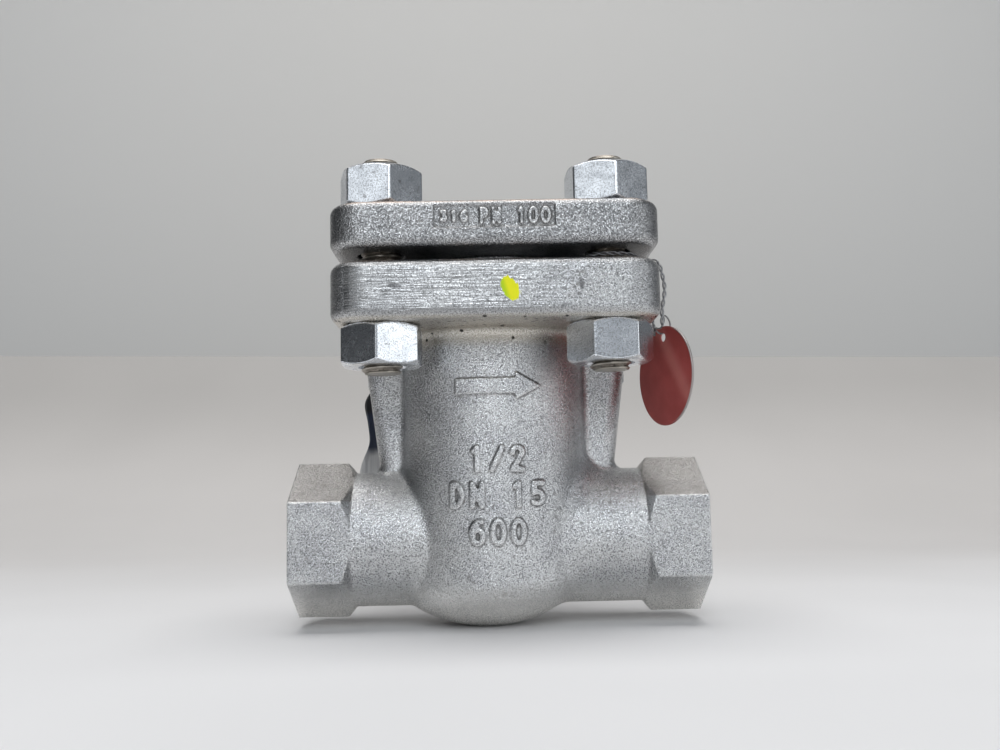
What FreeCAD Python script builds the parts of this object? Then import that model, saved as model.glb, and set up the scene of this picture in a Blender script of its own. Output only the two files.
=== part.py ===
import FreeCAD, Part
import Sketcher
import math
import os

V = FreeCAD.Vector
doc = FreeCAD.newDocument("swing_check_valve")

# Driving sizes, in millimetres and degrees
# Every height called "above the port axis" is counted from the flow line through both threaded ends.
sheet = doc.addObject("Spreadsheet::Sheet", "Sizes")
DRIVING_SIZES = [
    ("port_height", 21.1, "port axis above the foot"),
    ("half_length", 49.9, "centre of the valve to either pipe end"),
    ("hex_flats", 32.8, "across the flats of the pipe-end hexagons"),
    ("hex_length", 14.6, "length of each pipe-end hexagon"),
    ("hex_bevel", 2.05, "axial length of the bevel behind each hexagon"),
    ("port_radius", 9.9, "radius of the pipe thread at its pitch line"),
    ("port_depth", 16.0, "depth of the pipe thread"),
    ("port_chamfer", 0.8, "lead-in at each pipe end"),
    ("inlet_bore", 6.75, "radius of the inlet passage and seat"),
    ("outlet_bore", 8.0, "radius of the outlet passage"),
    ("barrel_radius", 22.9, "outside radius of the upright barrel"),
    ("barrel_shift", 0.7, "barrel centreline towards the inlet"),
    ("crown_radius", 34.0, "radius of the dished underside"),
    ("crown_shift", 3.0, "dish centre towards the inlet"),
    ("foot_radius", 6.5, "radius of the small flat under the dish"),
    ("bowl_round", 6.0, "knuckle between barrel and dish"),
    ("inlet_blend", 0.235, "inlet neck's fillet as a share of the neck between barrel and hexagon"),
    ("outlet_blend", 0.53, "outlet neck's fillet as a share of the neck between barrel and hexagon"),
    ("chamber_radius", 18.2, "radius of the chamber"),
    ("bowl_wall", 5.6, "thickness of the dished bottom"),
    ("seat_wall", 12.5, "chamber side of the seat wall, from the centreline"),
    ("ledge_height", 17.0, "bracket ledge above the port axis"),
    ("flange_side", 75.0, "side of both square flanges"),
    ("flange_corner", 8.0, "corner radius of both flanges in plan"),
    ("flange_base", 49.3, "underside of the body flange above the port axis"),
    ("flange_thickness", 13.6, "thickness of the body flange"),
    ("flange_round", 2.4, "rounding of the body flange's edges"),
    ("flange_fillet", 2.2, "fillet under the body flange"),
    ("rib_top_share", 0.733, "outer edge of the ribs, from the barrel out to the flange's side"),
    ("rib_low_share", 0.51, "foot of the ribs, from the barrel out to the hexagon"),
    ("rib_thickness", 9.0, "thickness of the ribs"),
    ("rib_round", 3.9, "rounding of the ribs' outer edges"),
    ("rib_blend", 0.165, "fillet around the ribs as a share of the neck between barrel and hexagon"),
    ("joint_gap", 2.75, "gap between the two flanges"),
    ("recess_radius", 26.0, "radius of the gasket recess"),
    ("recess_depth", 2.0, "depth of the gasket recess"),
    ("gasket_inner", 18.8, "inside radius of the gasket"),
    ("gasket_thickness", 3.0, "thickness of the clamped gasket"),
    ("gasket_clearance", 0.3, "gasket and cover boss inside the recess"),
    ("cover_thickness", 10.5, "thickness of the cover"),
    ("cover_round", 2.0, "rounding of the cover's edges"),
    ("bolt_spacing", 52.4, "distance between neighbouring studs"),
    ("bolt_hole", 5.3, "radius of the stud holes"),
    ("stud_radius", 4.76, "radius of the cover studs"),
    ("stud_length", 49.6, "length of the cover studs"),
    ("stud_tail", 1.6, "stud end below the lower nut"),
    ("stud_bevel", 0.8, "bevel on the stud ends"),
    ("nut_flats", 17.46, "across the flats of the heavy nuts"),
    ("nut_height", 9.4, "height of the heavy nuts"),
    ("nut_bevel", 1.0, "height of the corner bevel on the nuts"),
    ("nut_clearance", 0.05, "nut thread around the stud"),
    ("seat_radius", 10.2, "outside radius of the seat ring"),
    ("seat_sink", 2.0, "depth of the seat ring in its wall"),
    ("seat_proud", 2.0, "height of the seat ring out of its wall"),
    ("seat_clearance", 0.03, "seat ring in its counterbore"),
    ("seat_bevel", 1.0, "bevel around the sealing face"),
    ("disc_radius", 9.2, "radius of the disc"),
    ("disc_thickness", 3.0, "thickness of the disc"),
    ("stem_radius", 2.0, "radius of the disc stem"),
    ("stem_clearance", 0.08, "stem in the arm's eye"),
    ("eye_radius", 5.2, "outside radius of the arm's eye"),
    ("disc_gap", 0.05, "disc off the seat when it hangs closed"),
    ("disc_edge", 0.5, "bevel around the disc"),
    ("eye_gap", 0.3, "play between disc, arm and washer"),
    ("arm_thickness", 3.5, "thickness of the arm"),
    ("arm_width", 6.0, "width of the arm at the pin"),
    ("washer_radius", 4.2, "radius of the disc washer"),
    ("washer_thickness", 0.8, "thickness of the disc washer"),
    ("disc_nut_flats", 7.0, "across the flats of the disc nut"),
    ("disc_nut_height", 3.2, "height of the disc nut"),
    ("stem_tail", 2.2, "stem beyond the disc nut"),
    ("split_pin_radius", 0.45, "radius of the split pin"),
    ("split_pin_reach", 3.4, "split pin to each side of the stem"),
    ("pivot_reach", 8.6, "hinge pin centre towards the inlet"),
    ("pivot_height", 13.5, "hinge pin centre above the port axis"),
    ("pin_radius", 1.5, "radius of the hinge pin"),
    ("pin_clearance", 0.06, "hinge pin in the arm"),
    ("ear_clearance", 0.02, "hinge pin in the bracket"),
    ("boss_radius", 2.9, "radius of the arm's pin boss"),
    ("side_gap", 0.35, "play between the arm and each bracket ear"),
    ("ear_radius", 3.4, "radius of the bracket ears"),
    ("ear_width", 3.0, "thickness of each bracket ear"),
    ("plate_thickness", 3.0, "thickness of the bracket plate"),
    ("plate_back", 17.0, "back edge of the bracket plate from the centreline"),
    ("plate_front", 4.2, "front edge of the bracket plate from the centreline"),
    ("screw_reach", 14.8, "bracket screws from the centreline"),
    ("screw_spacing", 8.6, "distance between the bracket screws"),
    ("screw_radius", 1.5, "radius of the bracket screws"),
    ("screw_depth", 5.2, "bracket screw below the ledge"),
    ("screw_clearance", 0.1, "bracket screw in its holes"),
    ("screw_head_radius", 2.5, "radius of the bracket screw heads"),
    ("screw_head_height", 2.6, "height of the bracket screw heads"),
    ("socket_radius", 1.35, "corner radius of the screw sockets"),
    ("mark_raise", 0.6, "height of the cast marks"),
    ("mark_stroke", 1.2, "stroke width of the cast marks"),
    ("mark_height", 6.3, "height of the cast characters"),
    ("mark_pitch", 4.75, "spacing of the cast characters"),
    ("size_mark_height", 18.7, "middle of the size mark above the port axis"),
    ("bore_mark_height", 10.4, "middle of the bore mark above the port axis"),
    ("class_mark_height", 1.9, "middle of the class mark above the port axis"),
    ("arrow_height", 35.6, "middle of the arrow above the port axis"),
    ("arrow_tail", 9.8, "tail of the arrow towards the inlet"),
    ("arrow_neck", 4.4, "back of the arrow head towards the outlet"),
    ("arrow_tip", 10.3, "tip of the arrow towards the outlet"),
    ("arrow_shaft", 3.6, "width of the arrow shaft"),
    ("arrow_head", 6.4, "width of the arrow head"),
    ("panel_width", 27.2, "width of the sunk panel on the cover"),
    ("panel_height", 5.2, "height of the sunk panel"),
    ("panel_sink", 0.5, "depth of the sunk panel"),
    ("panel_drop", 4.0, "middle of the panel below the cover top"),
    ("panel_mark_height", 3.9, "height of the panel's large characters"),
    ("panel_mark_stroke", 0.75, "stroke width of the panel characters"),
    ("panel_mark_pitch", 2.75, "spacing of the panel's large characters"),
    ("panel_small_mark", 2.95, "height of the panel's small characters"),
    ("panel_small_pitch", 2.3, "spacing of the panel's small characters"),
    ("tag_radius", 12.1, "radius of the red tag"),
    ("tag_thickness", 0.9, "thickness of the red tag"),
    ("tag_hole", 1.05, "radius of the tag's hole"),
    ("tag_hole_rise", 9.4, "tag's hole above its centre"),
    ("tag_turn", 68.0, "turn of the tag about the upright"),
    ("tag_reach", 3.7, "tag's hole out from the flange's side"),
    ("tag_forward", 12.0, "tag's hole forward of the centreline"),
    ("tag_drop", 1.6, "tag's hole below the flange"),
    ("wire_radius", 0.45, "radius of the tag wire"),
    ("wire_play", 0.3, "wire and label off what carries them"),
    ("wire_stand_off", 1.5, "wire strand in front of the tag"),
    ("label_thickness", 0.5, "thickness of the strap label"),
    ("label_strip", 4.6, "width of the strap label's narrow strip"),
    ("label_width", 10.6, "width of the strap label's wide end"),
    ("label_neck", 3.3, "width of the strap label at its twist"),
    ("label_place", 27.5, "strap label's strip from the centreline"),
    ("label_drift", 6.6, "strap label's lower end further out than its strip"),
    ("label_drop", 56.0, "strap label's end below the flange gap"),
    ("label_lean", 2.0, "strap label's end in from the flange's rear edge"),
]
for row, (alias, size, meaning) in enumerate(DRIVING_SIZES, start=1):
    sheet.set(f"A{row}", meaning)
    sheet.set(f"B{row}", str(size))
    sheet.setAlias(f"B{row}", alias)
doc.recompute()


def sized(text):
    """Put the sheet's name before every alias in an expression."""
    words = {alias for alias, size, meaning in DRIVING_SIZES}
    out = []
    word = ""
    for letter in text + " ":
        if letter.isalnum() or letter == "_":
            word += letter
            continue
        out.append("Sizes." + word if word in words else word)
        out.append(letter)
        word = ""
    return "".join(out).strip()


def value(text):
    """The number that an expression of driving sizes gives now."""
    return float(sheet.evalExpression(sized(text)))


# Lengths worked out from the driving sizes
NECK_RADIUS = "(hex_flats / 2)"
HEX_CORNER = "(hex_flats / 2 / cos(30))"
HEX_START = "(half_length - hex_length)"
NECK_LENGTH = "(half_length - hex_length - barrel_radius)"
CROWN_RISE = "(sqrt(crown_radius ^ 2 - foot_radius ^ 2) - port_height)"
FLANGE_TOP = "(flange_base + flange_thickness)"
COVER_BASE = "(flange_base + flange_thickness + joint_gap)"
COVER_TOP = "(flange_base + flange_thickness + joint_gap + cover_thickness)"
RECESS_FLOOR = "(flange_base + flange_thickness - recess_depth)"
GASKET_TOP = "(flange_base + flange_thickness - recess_depth + gasket_thickness)"
STUD_START = "(flange_base - nut_height - stud_tail)"
SEAT_FACE = "(seat_wall - seat_proud)"
DISC_FACE = f"({SEAT_FACE} - disc_gap)"
DISC_BACK = f"({DISC_FACE} - disc_thickness)"
ARM_FACE = f"({DISC_BACK} - eye_gap)"
ARM_BACK = f"({ARM_FACE} - arm_thickness)"
WASHER_BACK = f"({ARM_BACK} - eye_gap - washer_thickness)"
NUT_BACK = f"({WASHER_BACK} - disc_nut_height)"
STEM_END = f"({NUT_BACK} - stem_tail)"
EAR_INNER = "(arm_width / 2 + side_gap)"
EAR_OUTER = "(arm_width / 2 + side_gap + ear_width)"

# Turns that lay a shape's own Z axis along the flow or across it
ALONG_FLOW = FreeCAD.Rotation(V(0, 1, 0), 90)
ACROSS_FLOW = FreeCAD.Rotation(V(1, 0, 0), 90)


def bind(thing, bindings):
    """Tie each named property of an object to an expression of driving sizes."""
    for name, text in bindings.items():
        thing.setExpression(name, sized(text))
    return thing


def solid(kind, name, bindings, turn=None, at=("0", "0", "0")):
    """A primitive with its sizes and place tied to the sheet."""
    thing = doc.addObject("Part::" + kind, name)
    if turn is not None:
        thing.Placement = FreeCAD.Placement(V(0, 0, 0), turn)
    bind(thing, bindings)
    bind(thing, {"Placement.Base." + axis: text for axis, text in zip("xyz", at) if text != "0"})
    return thing


def rod(name, radius, height, turn=None, at=("0", "0", "0")):
    return solid("Cylinder", name, {"Radius": radius, "Height": height}, turn, at)


def fuse(name, shapes):
    thing = doc.addObject("Part::MultiFuse", name)
    thing.Shapes = shapes
    thing.Refine = True
    return thing


def common(name, shapes):
    thing = doc.addObject("Part::MultiCommon", name)
    thing.Shapes = shapes
    return thing


def cut(name, base, tool):
    thing = doc.addObject("Part::Cut", name)
    thing.Base = base
    thing.Tool = tool
    return thing


def sharp(shape, edge):
    """True where two faces meet at more than a slight angle."""
    faces = shape.ancestorsOfType(edge, Part.Face)
    if len(faces) != 2:
        return False
    middle = edge.valueAt((edge.FirstParameter + edge.LastParameter) / 2)
    normals = [face.normalAt(*face.Surface.parameter(middle)) for face in faces]
    return normals[0].getAngle(normals[1]) > math.radians(12)


def rounded(name, base, radius, wanted):
    """Fillet the sharp edges that a test picks by their form and place."""
    doc.recompute()
    size = value(radius)
    thing = doc.addObject("Part::Fillet", name)
    thing.Base = base
    thing.Edges = [(number, size, size) for number, edge in enumerate(base.Shape.Edges, start=1)
                   if sharp(base.Shape, edge) and wanted(edge)]
    return thing


def centre(edge):
    return edge.BoundBox.Center


def upright(edge):
    box = edge.BoundBox
    return box.XLength < 0.01 and box.YLength < 0.01


def piece_body(label, at=("0", "0", "port_height"), turn=None):
    """A body that holds one piece, placed in the valve."""
    body = doc.addObject("PartDesign::Body", label)
    body.Label = label
    if turn is not None:
        body.Placement = FreeCAD.Placement(V(0, 0, 0), turn)
    bind(body, {"Placement.Base." + axis: text for axis, text in zip("xyz", at) if text != "0"})
    return body


def origin_plane(body, role):
    return next(plane for plane in body.Origin.OriginFeatures if plane.Role == role)


def sketch_on(body, name, role, offset="0"):
    sketch = body.newObject("Sketcher::SketchObject", name)
    sketch.AttachmentSupport = (origin_plane(body, role), [""])
    sketch.MapMode = "FlatFace"
    if offset != "0":
        bind(sketch, {"AttachmentOffset.Base.z": offset})
    return sketch


def outline(body, name, role, corners, offset="0"):
    """A closed straight-sided outline with every corner tied to the sheet."""
    sketch = sketch_on(body, name, role, offset)
    points = [V(value(across), value(up), 0) for across, up in corners]
    count = len(points)
    for number in range(count):
        sketch.addGeometry(Part.LineSegment(points[number], points[(number + 1) % count]), False)
    for number in range(count):
        sketch.addConstraint(Sketcher.Constraint("Coincident", number, 2, (number + 1) % count, 1))
    for number, (across, up) in enumerate(corners):
        for kind, text, place in (("DistanceX", across, points[number].x),
                                  ("DistanceY", up, points[number].y)):
            index = sketch.addConstraint(Sketcher.Constraint(kind, -1, 1, number, 1, place))
            sketch.setExpression(f"Constraints[{index}]", sized(text))
    return sketch


def circle(body, name, role, radius, at=("0", "0"), offset="0"):
    """A circle with its radius and centre tied to the sheet."""
    sketch = sketch_on(body, name, role, offset)
    middle = V(value(at[0]), value(at[1]), 0)
    sketch.addGeometry(Part.Circle(middle, V(0, 0, 1), value(radius)), False)
    index = sketch.addConstraint(Sketcher.Constraint("Radius", 0, value(radius)))
    sketch.setExpression(f"Constraints[{index}]", sized(radius))
    for kind, text, place in (("DistanceX", at[0], middle.x), ("DistanceY", at[1], middle.y)):
        index = sketch.addConstraint(Sketcher.Constraint(kind, -1, 1, 0, 3, place))
        sketch.setExpression(f"Constraints[{index}]", sized(text))
    return sketch


def turned(body, name, sketch, axis, groove=False):
    """Turn an outline about one of its own sketch axes."""
    feature = body.newObject("PartDesign::Groove" if groove else "PartDesign::Revolution", name)
    feature.Profile = sketch
    feature.ReferenceAxis = (sketch, [axis])
    feature.Angle = 360
    return feature


def pushed(body, name, sketch, length, both_ways=False, backwards=False, pocket=False):
    """Pad or pocket an outline by a tied length."""
    feature = body.newObject("PartDesign::Pocket" if pocket else "PartDesign::Pad", name)
    feature.Profile = sketch
    feature.Midplane = both_ways
    feature.Reversed = backwards
    bind(feature, {"Length": length})
    return feature


# Stroke characters for the cast marks
# Each character lies in a cell of half width 1 and half height 1, drawn with lines, arcs and rings.
def line(*points):
    return ("line", points)


def arc(start, middle, end):
    return ("arc", (start, middle, end))


def ring(across, up, half_width, half_height):
    return ("ring", (across, up, half_width, half_height))


CHARACTERS = {
    "0": [[ring(0.0, 0.0, 0.86, 1.0)]],
    "1": [[line((-0.45, 0.72), (0.1, 1.0), (0.1, -1.0))]],
    "2": [[arc((-0.75, 0.5), (0.0, 1.0), (0.75, 0.45)), line((0.75, 0.45), (-0.75, -1.0), (0.8, -1.0))]],
    "3": [[line((-0.7, 1.0), (0.7, 1.0), (-0.1, 0.2)), arc((-0.1, 0.2), (0.6, -0.7), (-0.8, -0.7))]],
    "5": [[line((0.7, 1.0), (-0.6, 1.0), (-0.68, 0.12)), arc((-0.68, 0.12), (0.72, -0.38), (-0.75, -0.72))]],
    "6": [[ring(0.0, -0.38, 0.78, 0.62)], [arc((-0.78, -0.38), (-0.5, 0.62), (0.6, 0.95))]],
    "/": [[line((-0.8, -1.0), (0.8, 1.0))]],
    "D": [[line((-0.7, -1.0), (-0.7, 1.0), (-0.1, 1.0)), arc((-0.1, 1.0), (0.8, 0.0), (-0.1, -1.0)),
           line((-0.1, -1.0), (-0.7, -1.0))]],
    "N": [[line((-0.75, -1.0), (-0.75, 1.0), (0.75, -1.0), (0.75, 1.0))]],
    "P": [[line((-0.65, -1.0), (-0.65, 1.0))],
          [line((-0.65, 1.0), (0.1, 1.0)), arc((0.1, 1.0), (0.72, 0.45), (0.1, -0.1)),
           line((0.1, -0.1), (-0.65, -0.1))]],
}


def straight_stroke(start, end, half_stroke):
    """A flat bar with round ends."""
    along = (end - start).normalize() * half_stroke
    side = along.cross(V(0, 1, 0))
    return Part.Face(Part.Wire([
        Part.LineSegment(start + side, end + side).toShape(),
        Part.Arc(end + side, end + along, end - side).toShape(),
        Part.LineSegment(end - side, start - side).toShape(),
        Part.Arc(start - side, start - along, start + side).toShape()]))


def stroke_faces(strokes, place, half_width, half_height, half_stroke):
    """Flat faces of one character's strokes in the upright plane across the flow's side."""
    def point(pair):
        return V(place[0] + pair[0] * half_width, 0, place[1] + pair[1] * half_height)

    faces = []
    for stroke in strokes:
        if stroke[0][0] == "ring":
            across, up, reach, rise = stroke[0][1]
            wires = []
            for grow in (half_stroke, -half_stroke):
                spans = (rise * half_height + grow, reach * half_width + grow)
                oval = Part.Ellipse(V(0, 0, 0), max(spans), min(spans))
                oval.Center = point((across, up))
                oval.Axis = V(0, -1, 0)
                oval.XAxis = V(0, 0, 1) if spans[0] > spans[1] else V(1, 0, 0)
                wires.append(Part.Wire([oval.toShape()]))
            faces.append(Part.Face(wires[0]).cut(Part.Face(wires[1])))
            continue
        edges = []
        for kind, pairs in stroke:
            spots = [point(pair) for pair in pairs]
            if kind == "arc":
                edges.append(Part.Arc(*spots).toShape())
            else:
                edges += [Part.LineSegment(a, b).toShape() for a, b in zip(spots, spots[1:])]
        path = Part.Wire(edges)
        if len(edges) == 1 and stroke[0][0] == "line":
            faces.append(straight_stroke(spots[0], spots[1], half_stroke))
        elif path.isClosed():
            faces.append(Part.Face(path.makeOffset2D(half_stroke)).cut(
                Part.Face(path.makeOffset2D(-half_stroke))))
        else:
            faces.append(Part.Face(path.makeOffset2D(half_stroke, join=0, fill=False,
                                                     openResult=False, intersection=False)))
    return faces


def word_solids(text, middle, up, height, stroke, pitch, front, depth):
    """Strokes of a word pushed back from an upright plane in front of the valve."""
    half_height = (height - stroke) / 2
    half_width = height / 3 - stroke / 2
    start = middle - pitch * (len(text) - 1) / 2
    solids = []
    for number, letter in enumerate(text):
        if letter == " ":
            continue
        place = (start + number * pitch, up)
        bars = [face.extrude(V(0, depth, 0)) for face in
                stroke_faces(CHARACTERS[letter], place, half_width, half_height, stroke / 2)]
        character = bars[0].fuse(bars[1:]) if len(bars) > 1 else bars[0]
        character.translate(V(0, front, 0))
        solids += character.Solids
    return solids


# Valve body casting
# Upright barrel with a dished bottom, a small flat foot under it and a knuckle between the two.
BARREL = ("-barrel_shift", "0", "0")
barrel_wall = rod("barrel_wall", "barrel_radius", "flange_base + flange_thickness / 2", at=BARREL)
barrel_foot = rod("barrel_foot", "barrel_radius", "port_height", at=("-barrel_shift", "0", "-port_height"))
crown = solid("Sphere", "crown", {"Radius": "crown_radius"}, at=("-crown_shift", "0", CROWN_RISE))
barrel = rounded("barrel", fuse("barrel_blank", [barrel_wall, common("dish", [barrel_foot, crown])]),
                 "bowl_round", lambda edge: edge.Curve.TypeId == "Part::GeomBSplineCurve")

# The neck runs through the barrel from one pipe end to the other.
neck = rod("neck", NECK_RADIUS, HEX_START + " * 2", ALONG_FLOW, ("-" + HEX_START, "0", "0"))
barrel_and_neck = fuse("barrel_and_neck", [barrel, neck])


def at_neck_root(edge, side):
    """Edges where the neck leaves the barrel on one side, 1 for the outlet and -1 for the inlet."""
    along = centre(edge).x * side
    return (edge.Curve.TypeId == "Part::GeomBSplineCurve"
            and value("barrel_shift + foot_radius") < along < value(f"({HEX_START} + barrel_radius) / 2"))


inlet_side = rounded("inlet_side", barrel_and_neck, f"{NECK_LENGTH} * inlet_blend",
                     lambda edge: at_neck_root(edge, -1))
stem_tube = rounded("barrel_on_neck", inlet_side, f"{NECK_LENGTH} * outlet_blend",
                    lambda edge: at_neck_root(edge, 1))

# Pipe-end hexagons, with a corner up, bevelled behind
hexagon = solid("Prism", "hexagon", {"Circumradius": HEX_CORNER, "Height": "hex_length"},
                ALONG_FLOW, (HEX_START, "0", "0"))
hexagon.Polygon = 6
BEVEL_SLOPE = "((" + HEX_CORNER + " - " + NECK_RADIUS + ") / hex_bevel)"
bevel = solid("Cone", "hex_bevel_cone",
              {"Radius1": NECK_RADIUS, "Radius2": NECK_RADIUS + " + " + BEVEL_SLOPE + " * hex_length",
               "Height": "hex_length"}, ALONG_FLOW, (HEX_START, "0", "0"))
outlet_hex = common("outlet_hex", [hexagon, bevel])
inlet_hex = doc.addObject("Part::Mirroring", "inlet_hex")
inlet_hex.Source = outlet_hex
inlet_hex.Normal = V(1, 0, 0)


def rounded_plate(name, thickness, base, edge_round):
    """A square plate with rounded corners and rounded top and bottom edges."""
    plate = solid("Box", name + "_blank",
                  {"Length": "flange_side", "Width": "flange_side", "Height": thickness},
                  at=("-flange_side / 2", "-flange_side / 2", base))
    cornered = rounded(name + "_cornered", plate, "flange_corner", upright)
    return rounded(name, cornered, edge_round, lambda edge: not upright(edge))


flange = rounded_plate("body_flange", "flange_thickness", "flange_base", "flange_round")

# A rib under each end of the flange, tapering down to the neck, its outer edge rounded
rib_shape = doc.addObject("Sketcher::SketchObject", "rib_shape")
rib_shape.Placement = FreeCAD.Placement(V(0, 0, 0), ACROSS_FLOW)
RIB_FOOT = "(" + NECK_RADIUS + " * 0.6)"
RIB_TOP = "(barrel_radius + (flange_side / 2 - barrel_radius) * rib_top_share)"
RIB_LOW = "(barrel_radius + " + NECK_LENGTH + " * rib_low_share)"
RIB_SLOPE = "((" + RIB_TOP + " - " + RIB_LOW + ") / (flange_base - " + NECK_RADIUS + "))"
RIB_OVERLAP = "(flange_thickness / 4)"
RIB_CORNERS = [
    ("barrel_radius / 2", RIB_FOOT),
    (RIB_LOW + " - " + RIB_SLOPE + " * (" + NECK_RADIUS + " - " + RIB_FOOT + ")", RIB_FOOT),
    (RIB_TOP + " + " + RIB_SLOPE + " * " + RIB_OVERLAP, "flange_base + " + RIB_OVERLAP),
    ("barrel_radius / 2", "flange_base + " + RIB_OVERLAP),
]
rib_points = [V(value(across), value(up), 0) for across, up in RIB_CORNERS]
for number in range(4):
    rib_shape.addGeometry(Part.LineSegment(rib_points[number], rib_points[(number + 1) % 4]), False)
for number in range(4):
    rib_shape.addConstraint(Sketcher.Constraint("Coincident", number, 2, (number + 1) % 4, 1))
for number, (across, up) in enumerate(RIB_CORNERS):
    for kind, text in (("DistanceX", across), ("DistanceY", up)):
        index = rib_shape.addConstraint(Sketcher.Constraint(kind, -1, 1, number, 1, value(text)))
        rib_shape.setExpression(f"Constraints[{index}]", sized(text))
rib_plate = doc.addObject("Part::Extrusion", "rib_plate")
rib_plate.Base = rib_shape
rib_plate.DirMode = "Custom"
rib_plate.Dir = V(0, 1, 0)
rib_plate.Solid = True
rib_plate.Symmetric = True
bind(rib_plate, {"LengthFwd": "rib_thickness"})
outlet_rib = rounded("outlet_rib", rib_plate, "rib_round",
                     lambda edge: centre(edge).x > value(f"({RIB_LOW} + barrel_radius) / 2")
                     and edge.BoundBox.YLength < 0.01 and edge.BoundBox.ZLength > value("flange_thickness"))
inlet_rib = doc.addObject("Part::Mirroring", "inlet_rib")
inlet_rib.Source = outlet_rib
inlet_rib.Normal = V(1, 0, 0)


def at_rib_root(edge):
    """Edges where a rib leaves the barrel or the neck, without the rib's own leaning edges."""
    middle = centre(edge)
    at_root = upright(edge) or edge.Curve.TypeId != "Part::GeomLine"
    beside_barrel = value("barrel_radius") * 0.8 < abs(middle.x) < value(HEX_START)
    above_neck = value(NECK_RADIUS) * 0.85 < middle.z < value("flange_base")
    return at_root and beside_barrel and above_neck and abs(middle.y) < value("rib_thickness")


def under_flange(edge):
    """Edges where the barrel and the ribs meet the flange's underside."""
    middle = centre(edge)
    flat = edge.BoundBox.ZLength < 0.05 and abs(middle.z - value("flange_base")) < 0.05
    return flat and max(abs(middle.x), abs(middle.y)) < value("flange_side / 2 - flange_round") - 0.5


ribbed = rounded("ribbed", fuse("ribs_on_barrel", [stem_tube, outlet_rib, inlet_rib]),
                 f"{NECK_LENGTH} * rib_blend", at_rib_root)
casting_blank = fuse("casting_blank", [ribbed, flange, outlet_hex, inlet_hex])
casting = rounded("casting", casting_blank, "flange_fillet", under_flange)

# Cast marks on the barrel's front: flow arrow, size, bore and pressure class
# They stand out of the barrel by one height all round, so a ring of that height trims them.
MARK_FRONT = -value("barrel_radius + mark_raise * 2")
MARK_DEPTH = value("barrel_radius * 0.55")
barrel_marks = []
for text, up in (("1/2", "size_mark_height"), ("DN 15", "bore_mark_height"), ("600", "class_mark_height")):
    barrel_marks += word_solids(text, -value("barrel_shift / 2"), value(up), value("mark_height"),
                                value("mark_stroke"), value("mark_pitch"), MARK_FRONT, MARK_DEPTH)
shaft_half = value("arrow_shaft") / 2
head_half = value("arrow_head") / 2
arrow_outline = [(-value("arrow_tail"), shaft_half), (value("arrow_neck"), shaft_half),
                 (value("arrow_neck"), head_half), (value("arrow_tip"), 0),
                 (value("arrow_neck"), -head_half), (value("arrow_neck"), -shaft_half),
                 (-value("arrow_tail"), -shaft_half)]
arrow_points = [V(across, MARK_FRONT, up + value("arrow_height")) for across, up in arrow_outline]
arrow_face = Part.Face(Part.makePolygon(arrow_points + arrow_points[:1]))
barrel_marks.append(arrow_face.extrude(V(0, MARK_DEPTH, 0)))
mark_blank = doc.addObject("Part::Feature", "mark_blank")
mark_blank.Shape = Part.makeCompound(barrel_marks)
mark_outer = rod("mark_outer", "barrel_radius + mark_raise", "flange_base + port_height",
                 at=("-barrel_shift", "0", "-port_height"))
mark_inner = rod("mark_inner", "barrel_radius - mark_raise", "flange_base + port_height",
                 at=("-barrel_shift", "0", "-port_height"))
marks = common("marks", [mark_blank, cut("mark_ring", mark_outer, mark_inner)])

# Inside of the casting: chamber with a flat seat wall, passages, threaded ports, gasket recess
chamber_bore = rod("chamber_bore", "chamber_radius", FLANGE_TOP, at=BARREL)
chamber_foot = rod("chamber_foot", "chamber_radius", "port_height",
                   at=("-barrel_shift", "0", "-port_height"))
chamber_crown = solid("Sphere", "chamber_crown", {"Radius": "crown_radius - bowl_wall"},
                      at=("-crown_shift", "0", CROWN_RISE))
chamber_blank = fuse("chamber_blank", [chamber_bore, common("chamber_dish", [chamber_foot, chamber_crown])])
seat_block = solid("Box", "seat_block",
                   {"Length": "chamber_radius * 2", "Width": "chamber_radius * 4",
                    "Height": "port_height + ledge_height"},
                   at=("-seat_wall - chamber_radius * 2", "-chamber_radius * 2", "-port_height"))
chamber = cut("chamber", chamber_blank, seat_block)
inlet_passage = rod("inlet_passage", "inlet_bore", "half_length - seat_wall + 1", ALONG_FLOW,
                    ("-half_length", "0", "0"))
seat_bore = rod("seat_bore", "seat_radius + seat_clearance", "seat_sink + 1", ALONG_FLOW,
                ("-seat_wall - seat_sink", "0", "0"))
outlet_passage = rod("outlet_passage", "outlet_bore", "half_length", ALONG_FLOW)
hollows = [chamber, inlet_passage, seat_bore, outlet_passage]
for side, turn, passage in ((1, FreeCAD.Rotation(V(0, 1, 0), -90), "outlet_bore"),
                            (-1, ALONG_FLOW, "inlet_bore")):
    name = "outlet" if side > 0 else "inlet"
    mouth = "half_length" if side > 0 else "-half_length"
    inward = " - " if side > 0 else " + "
    hollows.append(rod(name + "_thread", "port_radius", "port_depth", turn, (mouth, "0", "0")))
    hollows.append(solid("Cone", name + "_mouth",
                         {"Radius1": "port_radius + port_chamfer", "Radius2": "port_radius",
                          "Height": "port_chamfer"}, turn, (mouth, "0", "0")))
    hollows.append(solid("Cone", name + "_throat",
                         {"Radius1": "port_radius", "Radius2": passage,
                          "Height": "port_radius - " + passage}, turn,
                         (mouth + inward + "port_depth", "0", "0")))
hollows.append(rod("gasket_recess", "recess_radius", "recess_depth + 1", at=("0", "0", RECESS_FLOOR)))
for side in (-1, 1):
    hollows.append(rod("screw_hole", "screw_radius + screw_clearance", "screw_depth * 1.5",
                       at=("-screw_reach", f"{side} * screw_spacing / 2",
                           "ledge_height - screw_depth - screw_clearance * 4")))


def stud_holes(name, base, height):
    """The four stud holes of a flange."""
    return [rod(name, "bolt_hole", height,
                at=(f"{across} * bolt_spacing / 2", f"{away} * bolt_spacing / 2", base))
            for across in (-1, 1) for away in (-1, 1)]


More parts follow.
